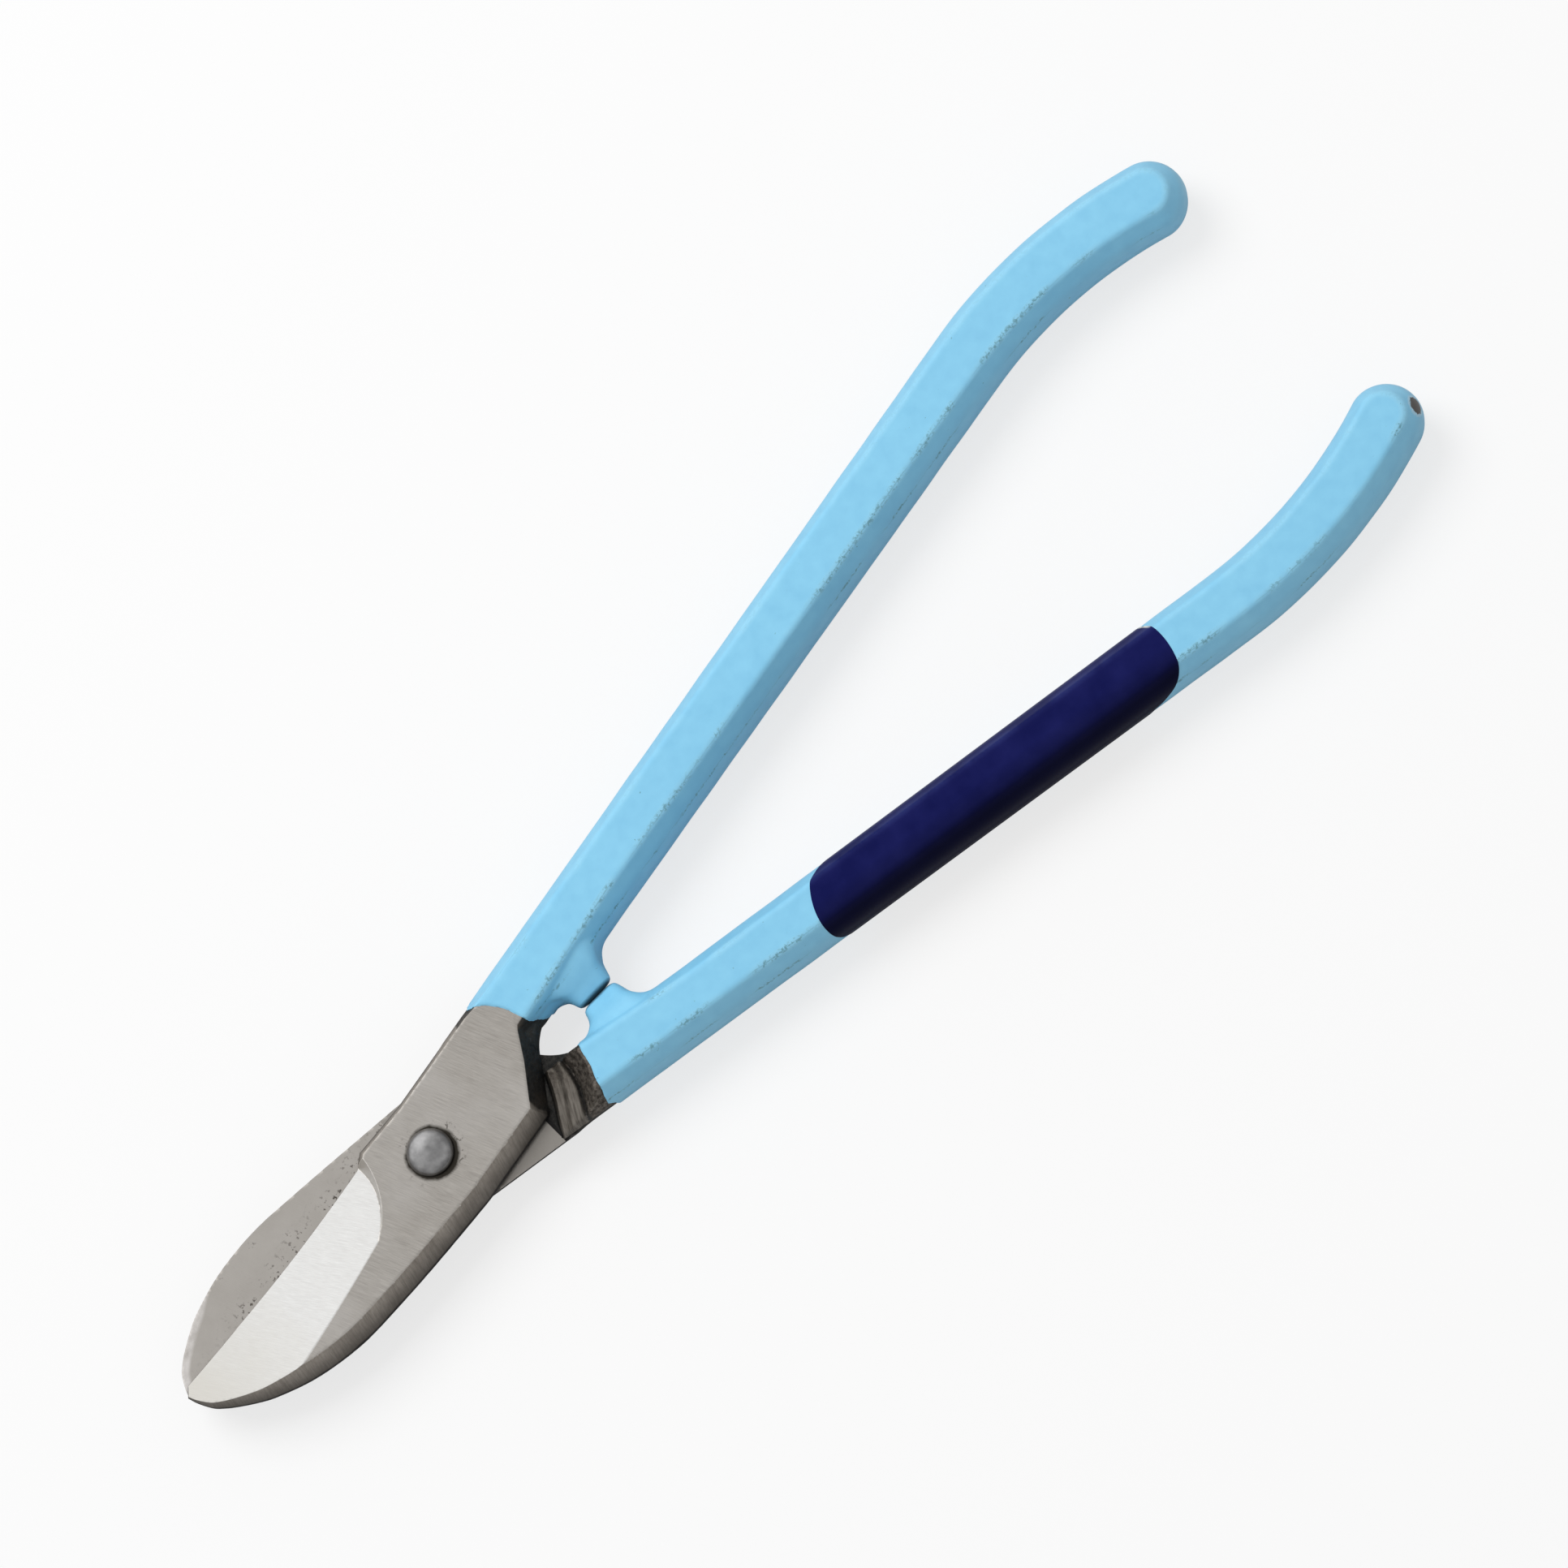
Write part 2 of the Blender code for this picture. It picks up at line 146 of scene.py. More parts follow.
def surface_of(field, low, high, step):
    """Points and triangles of the surface where a field of distances is zero, its creases kept."""
    low = np.array(low, float)
    counts = np.ceil((np.array(high) - low) / step).astype(int) + 1
    axes = [low[i] + step * np.arange(counts[i]) for i in range(3)]
    values = np.empty(counts)
    slab = 40
    for start in range(0, counts[0], slab):
        values[start:start + slab] = field(*np.meshgrid(axes[0][start:start + slab], axes[1], axes[2],
                                                        indexing="ij"))
    inside = values < 0.0
    strides = np.array([counts[1] * counts[2], counts[2], 1])
    points, rings, outward = [], [], []
    # The places where the grid's lines cross the surface, and the four cells round each
    for axis in range(3):
        cut = np.swapaxes(inside, 0, axis)
        nodes = np.argwhere(cut[:-1] != cut[1:])
        nodes[:, [0, axis]] = nodes[:, [axis, 0]]
        ahead = nodes.copy()
        ahead[:, axis] += 1
        near, far = values[tuple(nodes.T)], values[tuple(ahead.T)]
        start, stop = np.zeros(len(nodes)), np.ones(len(nodes))
        value_start, value_stop = near.copy(), far.copy()
        base = low + step * nodes
        for _ in range(3):
            share = start + (stop - start) * value_start / (value_start - value_stop)
            point = base.copy()
            point[:, axis] += step * share
            value = field(*point.T)
            same = (value < 0) == (value_start < 0)
            start, value_start = np.where(same, share, start), np.where(same, value, value_start)
            stop, value_stop = np.where(same, stop, share), np.where(same, value_stop, value)
        points.append(point)
        second, third = (axis + 1) % 3, (axis + 2) % 3
        here = nodes @ strides
        rings.append(np.stack([here, here - strides[second], here - strides[second] - strides[third],
                               here - strides[third]], axis=1))
        outward.append(near < 0)
    point, ring, outward = np.concatenate(points), np.concatenate(rings), np.concatenate(outward)
    # The way that the surface faces there
    probe = step * 0.08
    normal = np.stack([field(*(point + offset).T) - field(*(point - offset).T)
                       for offset in probe * np.eye(3)], axis=1)
    normal /= np.linalg.norm(normal, axis=1, keepdims=True) + 1e-12
    # One vertex for each cell, as near as can be to the planes of all its crossings
    cells, owner = np.unique(ring.ravel(), return_inverse=True)
    owner = owner.ravel()
    size = len(cells)

    def gathered(column):
        return np.bincount(owner, np.repeat(column, 4), size)

    number = np.bincount(owner, minlength=size).astype(float)
    middle = np.stack([gathered(point[:, i]) for i in range(3)], axis=1) / number[:, None]
    moment = np.empty((size, 3, 3))
    for i in range(3):
        for j in range(3):
            moment[:, i, j] = gathered(normal[:, i] * normal[:, j])
    pull = np.stack([gathered(normal[:, i] * np.sum(normal * point, axis=1)) for i in range(3)], axis=1)
    pull -= np.einsum("nij,nj->ni", moment, middle)
    moment += 0.06 * np.eye(3)
    vertices = middle + np.linalg.solve(moment, pull[..., None])[..., 0]
    corner = low + step * np.stack(np.unravel_index(cells, counts), axis=1)
    vertices = np.clip(vertices, corner, corner + step)
    # Two triangles for each crossing, split along the diagonal that lies nearer to the surface
    ring = owner.reshape(-1, 4)
    ring = np.where(outward[:, None], ring, ring[:, ::-1])
    first = np.abs(field(*((vertices[ring[:, 0]] + vertices[ring[:, 2]]) / 2).T))
    other = np.abs(field(*((vertices[ring[:, 1]] + vertices[ring[:, 3]]) / 2).T))
    turned = np.where((first <= other)[:, None], ring, np.roll(ring, -1, axis=1))
    return vertices, np.concatenate([turned[:, [0, 1, 2]], turned[:, [0, 2, 3]]])


def new_object(name, data):
    made = bpy.data.objects.new(name, data)
    bpy.context.scene.collection.objects.link(made)
    return made


def mesh_object(name, vertices, faces):
    mesh = bpy.data.meshes.new(name)
    mesh.from_pydata(vertices.tolist(), [], faces.tolist())
    mesh.validate()
    return new_object(name, mesh)


def made_plain(piece):
    """Applies the piece's modifiers."""
    graph = bpy.context.evaluated_depsgraph_get()
    mesh = bpy.data.meshes.new_from_object(piece.evaluated_get(graph))
    piece.modifiers.clear()
    piece.data = mesh


def combine(piece, tool, operation):
    """Joins or cuts with another closed piece, which is used up."""
    step = piece.modifiers.new(tool.name, "BOOLEAN")
    step.operation, step.solver, step.object = operation, "MANIFOLD", tool
    made_plain(piece)
    bpy.data.objects.remove(tool)


def blade_lean(side, x):
    return (1 if side == "upper" else -1) * tip_lean * (np.minimum(x, 0.0) / blade_length) ** 2


def spine_curve(steps):
    """Points along a smooth curve through the spine's stations."""
    stations = [Vector((-blade_length * along, -blade_half_width * out)) for along, out in spine_stations]
    padded = [2 * stations[0] - stations[1], *stations, 2 * stations[-1] - stations[-2]]
    curve = []
    for before, start, end, after in zip(padded, padded[1:], padded[2:], padded[3:]):
        for step in range(steps):
            t = step / steps
            curve.append(0.5 * (2 * start + (end - before) * t
                                + (2 * before - 5 * start + 4 * end - after) * t ** 2
                                + (3 * start - before - 3 * end + after) * t ** 3))
    return curve + [stations[-1]]


def edge_line(x):
    """How far out the cutting edge is at x, and its run as a share from heel to tip."""
    share = (edge_heel[0] - x) / (edge_heel[0] - edge_tip[0])
    held = np.clip(share, 0.0, 1.0)
    return edge_heel[1] + (edge_tip[1] - edge_heel[1]) * share - 4 * edge_bow * held * (1 - held), share


outline_margin = 0.0022
outline_step = 0.00008
splay_slope = math.tan(handle_splay)
far_waist = (plate_end, waist[1] + (plate_end - waist[0]) * splay_slope)
edge_run = [(float(x), float(edge_line(x)[0])) for x in np.linspace(edge_heel[0], edge_tip[0], 12)]
plate_corners = np.array([spine_waist, neck_corner, nose_throat, (plate_end, 0.0056), far_waist, waist, heel,
                          *edge_run, *[tuple(p) for p in reversed(spine_curve(6))]])
outline_low = plate_corners.min(0) - outline_margin
outline_counts = np.ceil((plate_corners.max(0) + outline_margin - outline_low) / outline_step).astype(int)


def outline_distances():
    """Signed distance to the plate's outline, on a fine grid."""
    x, y = np.meshgrid(*[outline_low[i] + outline_step * np.arange(outline_counts[i]) for i in range(2)],
                       indexing="ij")
    nearest, within = np.full(x.shape, 1.0), np.zeros(x.shape, bool)
    for (ax, ay), (bx, by) in zip(plate_corners, np.roll(plate_corners, -1, axis=0)):
        ex, ey = bx - ax, by - ay
        share = np.clip(((x - ax) * ex + (y - ay) * ey) / (ex * ex + ey * ey), 0.0, 1.0)
        nearest = np.minimum(nearest, np.hypot(x - ax - ex * share, y - ay - ey * share))
        if ey != 0:
            within ^= ((ay > y) != (by > y)) & (x < ax + ex * (y - ay) / ey)
    return np.where(within, -nearest, nearest)


outline_table = outline_distances()


def plate_side(x, y):
    """Distance to the plate's outline, read between the grid's points."""
    u = np.clip((x - outline_low[0]) / outline_step, 0, outline_counts[0] - 1.001)
    v = np.clip((y - outline_low[1]) / outline_step, 0, outline_counts[1] - 1.001)
    i, j = u.astype(int), v.astype(int)
    u, v = u - i, v - j
    return ((outline_table[i, j] * (1 - u) + outline_table[i + 1, j] * u) * (1 - v)
            + (outline_table[i, j + 1] * (1 - u) + outline_table[i + 1, j + 1] * u) * v)


def along_handle(x, y):
    """Run along the handle's centre line, and how far to its side, positive outward."""
    cos, sin = math.cos(handle_splay), math.sin(handle_splay)
    up = y - handle_offset
    run, side = x * cos + up * sin, up * cos - x * sin
    past, out = run - handle_straight, side + handle_bend_radius
    bent = past > 0
    run = np.where(bent, handle_straight + handle_bend_radius * np.arctan2(past, out), run)
    return run, np.where(bent, np.hypot(past, out) - handle_bend_radius, side)


def half_width(side, run):
    gain = handle_width_gain * np.clip(run / handle_run, 0.0, 1.0)
    return (handle_width_neck + gain - (lower_trim if side == "lower" else 0.0)) / 2


def flat_swell(run, off):
    """How far the inner crease of the flat swings out near the boss."""
    share = np.clip((neck_swell_end - run) / neck_swell_run, 0.0, 1.15)
    return neck_swell * share * smooth_step(0.0, -0.001, off)


def bar_faces(side, x, y, z):
    """Distances to the handle's wall, its chamfer and its flat, carried round its round end."""
    run, off = along_handle(x, y)
    past = np.maximum(run - handle_run, 0.0) + np.maximum(handle_root - run, 0.0)
    out = np.hypot(off, past) - half_width(side, run)
    rise = np.sqrt(z * z + parting_softness ** 2)
    wall = out * math.cos(wall_draft) + rise * math.sin(wall_draft)
    off_flat = out - flat_swell(run, off)
    chamfer = off_flat * math.cos(chamfer_tilt) + rise * math.sin(chamfer_tilt) - chamfer_rise
    return wall, chamfer, rise - handle_half_thickness


def handle_bar(side, x, y, z, inset):
    """The handle's eight-sided bar, all its faces moved in by the inset."""
    wall, chamfer, flat = bar_faces(side, x, y, z)
    return soft_max(soft_max(wall, chamfer, crease_low), flat, crease_top) + inset


def stop_lug(x, y, z, inset):
    """The lug on the handle's inner side that stops the other half's."""
    ends = np.abs(x - lug_middle) - lug_half_length - lug_spread * np.maximum(y, 0.0)
    slope = np.hypot(1.0, lug_rise)
    height = (np.sqrt(z * z + lug_round ** 2 / 4) - lug_face_half_height - lug_rise * y) / slope
    shape = soft_max(soft_max(ends, height, 2 * lug_round), lug_face - y, lug_round)
    shape = soft_max(shape, np.abs(z) - lug_top, 2 * lug_round)
    return np.maximum(shape, y - lug_depth) + inset


def fillet_width(z):
    """The lug's corners are wide low down, and tight where it runs out under the flat."""
    return lug_fillet * (1 - 0.88 * smooth_step(0.0020, 0.0036, np.abs(z)))


def throat_width(z, off):
    """The boss runs into the handle's inner wall in a wide corner, and into all else in a tight one."""
    return 0.0003 + throat_fillet * smooth_step(-0.0005, -0.003, off) * smooth_step(0.0028, 0.0010, np.abs(z))


def painted_form(side, x, y, z, inset=0.0):
    """Handle and lug together, with the fillets between them."""
    return soft_min(handle_bar(side, x, y, z, inset), stop_lug(x, y, z, inset), fillet_width(z))


floor_end = 0.01155           # where the flat ground floor behind the boss stops
floor_rise = 0.00045          # the step that the dies left behind it
ridge_direction = (0.870, 0.493)
ridge_foot = 0.01430
ridge_rise = 0.00115
ridge_slope = 0.00045         # how much more it climbs up to its groove
ridge_line_height = 0.0001225
ridge_groove = 0.01805
groove_rise = 0.0026          # from the groove up to the handle
groove_depth = 0.00055
floor_groove_depth = 0.00035
neck_rough = 0.00011


def neck_height(x, y):
    """How high the black neck stands over the seat plane, on the side that the other half lies on."""
    reach = x * ridge_direction[0] + y * ridge_direction[1] + 0.00012 * np.sin(y / 0.0011)
    radius = np.hypot(x, y) + 0.00015 * np.sin(y / 0.0013 + 0.8)
    rise = floor_rise * smooth_step(floor_end + 0.0002, floor_end + 0.0016, x)
    rise += ridge_rise * smooth_step(ridge_foot - 0.0001, ridge_foot + 0.0007, reach)
    rise += ridge_slope * smooth_step(ridge_foot + 0.0008, ridge_groove - 0.0004, reach)
    lines = np.sin((reach - ridge_foot) / 0.00028) * smooth_step(0, 0.0004, reach - ridge_foot)
    rise += ridge_line_height * lines * smooth_step(0, 0.0004, ridge_groove - radius)
    rise += groove_rise * smooth_step(ridge_groove, ridge_groove + 0.0030, radius)
    rise -= groove_depth * np.exp(-((radius - ridge_groove) / 0.00030) ** 2)
    rise -= floor_groove_depth * np.exp(-((x - floor_end - 0.0002) / 0.00018) ** 2)
    return np.where(x < floor_end, 0.0, rise) - seat_clearance


def bevel_parts(side, x, y, z):
    """Distances over the ground bevel and from the round wall that the wheel leaves."""
    out = y - blade_lean(side, x)
    edge, share = edge_line(x)
    width = bevel_width_heel + bevel_width_gain * share
    foot = seat_clearance + edge_land + tip_land * smooth_step(0.3, 1.0, share)
    slope = (boss_thickness - foot) / width
    over = (z - foot - slope * (edge - out)) / np.sqrt(1 + slope ** 2)
    radius = wheel_radius - wheel_lean * (boss_thickness - z) / boss_thickness
    ahead = x - wheel_centre[0]
    above = out - wheel_centre[1]
    beside = np.where(ahead > 0, np.hypot(ahead, above) - radius, above - radius)
    beside = np.minimum(beside, np.maximum(ahead - wheel_run_out, above))
    return over, -beside


def plate_wall(x, y, z, run):
    """Distance to the plate's drafted side, which sinks into the handle behind the boss."""
    sink = plate_sink * np.maximum(run - plate_sink_start, 0.0)
    draft = draft_inset * np.clip((z - parting_band) / (boss_thickness - parting_band), 0.0, 1.2)
    return (plate_side(x, y) + draft) * draft_cosine + sink


def forged_parts(side, x, y, z):
    """The distances that make up a half: its faces by name, for the shape and for its finishes."""
    run, off = along_handle(x, y)
    wall = plate_wall(x, y - blade_lean(side, x), z, run)
    bar = handle_bar(side, x, y, z, coat_thickness - core_set_back)
    lug = stop_lug(x, y, z, coat_thickness)
    outer = soft_min(soft_min(wall, bar, throat_width(z, off)), lug, fillet_width(z))
    over, beside = bevel_parts(side, x, y, z)
    rough = neck_rough * ripple(x, y, z, 0.0005, 3.0) * smooth_step(floor_end + 0.0005, floor_end + 0.003, x)
    return {"outer": outer, "face": z - boss_thickness, "seat": seat_clearance - z, "bevel": over,
            "plunge": beside, "bar": soft_min(bar, lug, fillet_width(z)),
            "neck": -z - neck_height(x, y) - rough}


def forged_form(side, x, y, z):
    part = forged_parts(side, x, y, z)
    plate = soft_max(soft_max(part["outer"], part["face"], 0.0002), part["seat"], 0.0001)
    plate = np.maximum(plate, np.minimum(part["bevel"], part["plunge"]))
    neck = soft_max(part["bar"], part["neck"], 0.0003)
    whole = np.minimum(plate, neck)
    return np.maximum(np.maximum(whole, bore_radius - np.hypot(x, y)), x - core_start - 0.001)


def handle_core(side, name, start, inset):
    """The plain bar inside the enamel, as a closed piece from that run on."""
    def form(x, y, z):
        return np.maximum(painted_form(side, x, y, z, inset), start - x)
    points, faces = surface_of(form, (start - 0.002, -0.001, -0.0052), (0.1425, 0.0285, 0.0052), core_step)
    return mesh_object(name, points, faces)


def add_zones(mesh, **zones):
    """Stores a value at each vertex under each name, for the mesh's material."""
    for name, values in zones.items():
        zone = mesh.attributes.new(name, "FLOAT", "POINT")
        zone.data.foreach_set("value", np.asarray(values, np.float32))


def settle(side, piece):
    """Moves a piece from its half's own frame into place, the lower one turned over about the long
    axis, and smooths all but its creases. Gives its vertices in the half's frame."""
    mesh = piece.data
    flat = np.empty(len(mesh.vertices) * 3)
    mesh.vertices.foreach_get("co", flat)
    own = flat.reshape(-1, 3)
    turned = own * ((1, 1, 1) if side == "upper" else (1, -1, -1))
    mesh.vertices.foreach_set("co", (turned + (0, 0, seat_height)).ravel())
    mesh.update()
    mesh.shade_smooth()
    mesh.set_sharp_from_angle(angle=crease_angle)
    return own.T


def forge_half(side):
    points, faces = surface_of(lambda x, y, z: forged_form(side, x, y, z), *forging_box, forging_step)
    half = mesh_object(side + "_half", points, faces)
    combine(half, handle_core(side, side + "_core", core_start, coat_thickness + core_set_back), "UNION")
    x, y, z = settle(side, half)
    part = forged_parts(side, x, y, z)
    radius, lean, edge = np.hypot(x, y), blade_lean(side, x), edge_line(x)[0]
    reach = x * ridge_direction[0] + y * ridge_direction[1]
    ridge = smooth_step(ridge_foot, ridge_foot + 0.0005, reach) * (z < 0)
    # The black scale is left behind a line past the neck's corner
    past_corner = (x - neck_corner[0] + 0.0004) * 0.93 - np.maximum(-y - 0.0050, 0.0)
    add_zones(half.data, over_face=part["face"], over_bevel=part["bevel"], inside_wheel=part["plunge"],
              under_seat=np.where(x < floor_end, part["seat"], -parting_band),
              past_groove=np.where(z < 0, radius - ridge_groove, -parting_band),
              black=smooth_step(0.0, 0.0003, past_corner),
              ridge=ridge * smooth_step(-0.0001, 0.0004, ridge_groove - 0.0001 - radius),
              out_from_throat=y,
              past_mate=np.where(x < -0.002, -y - edge + lean, 0.02),
              rim=plate_side(x, y - lean) - 0.0003 * np.clip((x + 0.031) / 0.001, -1.0, 9.0))
    return half


halves = {side: forge_half(side) for side in ("upper", "lower")}


class Value:
    """A node's output that can be reckoned with like a number. Each step adds a node."""

    def __init__(self, socket):
        self.socket = socket
        self.tree = socket.id_data

    def __getitem__(self, name):
        """Another output of the same node."""
        return Value(self.socket.node.outputs[name])

    def __add__(self, other):
        return reckon("ADD", self, other)

    def __sub__(self, other):
        return reckon("SUBTRACT", self, other)

    def __rsub__(self, other):
        return reckon("SUBTRACT", other, self)

    def __mul__(self, other):
        return reckon("MULTIPLY", self, other)

    def __or__(self, other):
        """The larger of two masks."""
        return reckon("MAXIMUM", self, other)

    def __abs__(self):
        return reckon("ABSOLUTE", self)

    def ramp(self, low, high, out_low=0.0, out_high=1.0):
        """Runs from out_low to out_high while the value runs from low to high."""
        return wire(self.tree, "MapRange", {"Value": self, "From Min": low, "From Max": high,
                                            "To Min": out_low, "To Max": out_high})


def feed(node, inputs):
    """Gives a node's inputs plain values, or links them to the outputs of other nodes."""
    for name, value in inputs.items():
        if isinstance(value, Value):
            node.id_data.links.new(value.socket, node.inputs[name])
        else:
            node.inputs[name].default_value = value


def wire(tree, kind, inputs=None, **settings):
    """Adds a node, gives it its settings, feeds its inputs, and returns its first output."""
    node = tree.nodes.new(kind if kind.startswith("Geometry") else "ShaderNode" + kind)
    for name, value in settings.items():
        setattr(node, name, value)
    feed(node, inputs or {})
    return Value(node.outputs[0])


def reckon(operation, *values):
    tree = next(value.tree for value in values if isinstance(value, Value))
    return wire(tree, "Math", dict(enumerate(values)), operation=operation)


def blend(share, under, over):
    """One colour laid over another by a share."""
    under, over = [(*c, 1.0) if isinstance(c, tuple) else c for c in (under, over)]
    return wire(share.tree, "Mix", {0: share, 6: under, 7: over}, data_type="RGBA")[2]


def layered(colour, *layers):
    """A colour with others laid over it in turn, each given as its share and its colour."""
    for share, over in layers:
        colour = blend(share, colour, over)
    return colour


def noise(spot, scale, detail, roughness=0.5):
    return wire(spot.tree, "TexNoise", {"Vector": spot, "Scale": scale, "Detail": detail,
                                        "Roughness": roughness})


def new_group(name, tree_kind, inputs, outputs):
    """A node group with named inputs and outputs. The kind of an input comes from its value."""
    kinds = {float: "Float", int: "Int", tuple: "Vector", bpy.types.Object: "Object",
             bpy.types.Material: "Material"}
    tree = bpy.data.node_groups.new(name, tree_kind)
    for label, value in inputs.items():
        kind = "NodeSocket" + kinds[type(value)]
        socket = tree.interface.new_socket(label, in_out="INPUT", socket_type=kind)
        if isinstance(value, float):
            socket.default_value = value
    for label, kind in outputs.items():
        tree.interface.new_socket(label, in_out="OUTPUT", socket_type="NodeSocket" + kind)
    given = Value(tree.nodes.new("NodeGroupInput").outputs[0])
    return tree, given, tree.nodes.new("NodeGroupOutput")


def grouped(group, spot, **inputs):
    return wire(spot.tree, "Group", {"Vector": spot, **inputs}, node_tree=group)


def new_material(name, inputs):
    """A material with its shader's plain values, its tree, and the object's own coordinates."""
    material = bpy.data.materials.new(name)
    material.use_nodes = True
    tree = material.node_tree
    feed(tree.nodes["Principled BSDF"], inputs)
    return material, tree, wire(tree, "TexCoord")["Object"]


def finish_shader(tree, colour, height, strength, distance):
    """Feeds a material's shader a colour, and the bump of a height."""
    bump = wire(tree, "Bump", {"Height": height, "Strength": strength, "Distance": distance})
    feed(tree.nodes["Principled BSDF"], {"Base Color": colour, "Normal": bump})


# Fine parallel scratches of a belt or a wheel
grain_inputs = {"Vector": (0.0, 0.0, 0.0), "Across": 9000.0, "Along": 260.0, "Slant": 0.0}
grain_group, given, put = new_group("grinding_grain", "ShaderNodeTree", grain_inputs,
                                    {"Grain": "Float", "Broad": "Float"})
turned = wire(grain_group, "VectorRotate", {"Vector": given["Vector"], "Angle": given["Slant"]},
              rotation_type="Z_AXIS")
scale = wire(grain_group, "CombineXYZ", {0: given["Across"], 1: given["Along"], 2: given["Along"]})
stretched = wire(grain_group, "VectorMath", {0: turned, 1: scale}, operation="MULTIPLY")
feed(put, {"Grain": noise(stretched, 1.0, 3.0, 0.7), "Broad": noise(stretched, 0.13, 2.0)})

# Small scattered marks: pits, specks and chips
speck_inputs = {"Vector": (0.0, 0.0, 0.0), "Scale": 900.0, "Amount": 0.35, "Softness": 0.06}
speck_group, given, put = new_group("scattered_specks", "ShaderNodeTree", speck_inputs, {"Mask": "Float"})
cloud = noise(given["Vector"], given["Scale"], 4.0, 0.62)
start = 1.0 - given["Amount"]
feed(put, {"Mask": cloud.ramp(start, start + given["Softness"])})

forged_steel, tree, spot = new_material("forged_steel", {"Metallic": 1.0})


def zone(tree, name):
    """A value that the mesh carries."""
    return wire(tree, "Attribute", attribute_name=name)["Fac"]


def past(distance, start, width=0.00005):
    """Where a distance is larger than start."""
    return distance.ramp(start, start + width)


grain = grouped(grain_group, spot, Across=9000.0, Along=420.0, Slant=-0.38)
bevel_grain = grouped(grain_group, spot, Across=12000.0, Along=600.0, Slant=-0.55)
side_grain = grouped(grain_group, spot, Across=4200.0, Along=300.0, Slant=0.52)
clouds = noise(spot, 260.0, 5.0, 0.6)
crumbs = noise(spot, 1900.0, 5.0, 0.7)
pits = grouped(speck_group, spot, Scale=1700.0, Amount=0.43, Softness=0.04)
over_face, inside_wheel, past_mate = [zone(tree, name) for name in ("over_face", "inside_wheel", "past_mate")]
black, ridge = zone(tree, "black"), zone(tree, "ridge")
along_x = wire(tree, "SeparateXYZ", {0: spot})

# Where each face of a half is
on_face = past(over_face, -0.00009)
# Bright specks just under the face's edge: partly a worn edge, partly a painted glint.
edge_specks_and_glint = past(over_face, -0.00022, 0.00010) * crumbs.ramp(0.57, 0.63)
in_bevel = past(zone(tree, "over_bevel"), -0.00007)
on_bevel = in_bevel * past(inside_wheel, 0.00003)
on_plunge = in_bevel * past(inside_wheel, -0.00009, 0.00003)
on_seat = past(zone(tree, "under_seat"), -0.00007)
on_ridge = (ridge + crumbs * 0.8).ramp(0.55, 1.15) * ridge.ramp(0.0, 0.2)
in_band = (over_face + clouds * 0.0004).ramp(-0.00295, -0.00320)
# A pale rim along the blade's outer edge near the tip: partly polish, partly a painted highlight.
rim = past(zone(tree, "rim"), -0.00075, 0.0004) * clouds.ramp(0.36, 0.62, 0.1, 0.8)
ground = on_face | on_bevel | on_seat | on_plunge

# The drafted sides, and the black neck with its ridge
rough_side = layered(
    blend(clouds.ramp(0.30, 0.70), (0.33, 0.297, 0.262), (0.47, 0.430, 0.385)),
    (side_grain.ramp(0.40, 0.66, 0.0, 0.40), (0.15, 0.132, 0.112)))
# Each drafted side darkens towards its lower edge: painted shade.
side_colour = layered(
    blend(over_face.ramp(-0.0033, -0.0006, 0.25, 1.0), (0.06, 0.055, 0.049), rough_side),
    (edge_specks_and_glint, (0.66, 0.63, 0.59)),
    (in_band, (0.030, 0.029, 0.029)))
black_colour = layered(
    blend(crumbs.ramp(0.36, 0.66), (0.034, 0.035, 0.034), (0.090, 0.086, 0.080)),
    (clouds.ramp(0.50, 0.62, 0.0, 0.55), (0.105, 0.088, 0.072)))
slope_colour = blend(crumbs.ramp(0.38, 0.64), (0.050, 0.043, 0.036), (0.23, 0.205, 0.178))
lit_ridge = blend(side_grain.ramp(0.34, 0.66), (0.125, 0.112, 0.096), (0.27, 0.248, 0.220))
ridge_colour = layered(
    blend(crumbs.ramp(0.36, 0.64), (0.075, 0.064, 0.053), (0.21, 0.187, 0.160)),
    ((zone(tree, "out_from_throat") + clouds * 0.004).ramp(0.0045, 0.0090), lit_ridge))

# The ground faces: the boss, the bevel, and the seat that the other half rubs over
face_colour = layered(
    blend(grain.ramp(0.32, 0.68), (0.34, 0.318, 0.292), (0.49, 0.463, 0.428)),
    (grain["Broad"].ramp(0.42, 0.62, 0.0, 0.22), (0.50, 0.475, 0.44)),
    (clouds.ramp(0.50, 0.70, 0.0, 0.25), (0.33, 0.303, 0.27)),
    (noise(spot, 75.0, 2.0).ramp(0.42, 0.62, 0.0, 0.45), (0.55, 0.528, 0.505)))
bevel_colour = layered(
    blend(bevel_grain.ramp(0.30, 0.70), (0.51, 0.505, 0.495), (0.61, 0.61, 0.60)),
    ((clouds * 0.01 + along_x).ramp(-0.0180, -0.0340, 0.0, 0.7), (0.510, 0.490, 0.445)))
rubbed = past_mate.ramp(0.0030, 0.0004) * clouds.ramp(0.38, 0.50) | clouds.ramp(0.58, 0.64, 0.0, 0.7)
rubbed = rubbed * past_mate.ramp(0.0080, 0.0070) * along_x.ramp(-0.0320, -0.0275, 0.12, 1.0)
# On the seat, the thin dark line along the other blade's edge is a painted shadow of that edge.
seat_colour = layered(
    blend(clouds.ramp(0.30, 0.70), (0.42, 0.395, 0.365), (0.47, 0.445, 0.415)),
    (pits * rubbed, (0.09, 0.078, 0.068)),
    (past_mate.ramp(0.00022, 0.00002, 0.0, 0.6), (0.09, 0.078, 0.068)),
    (past_mate.ramp(0.0100, 0.0150, 0.0, 0.45), (0.20, 0.185, 0.165)),
    (rim, (0.78, 0.75, 0.73)))
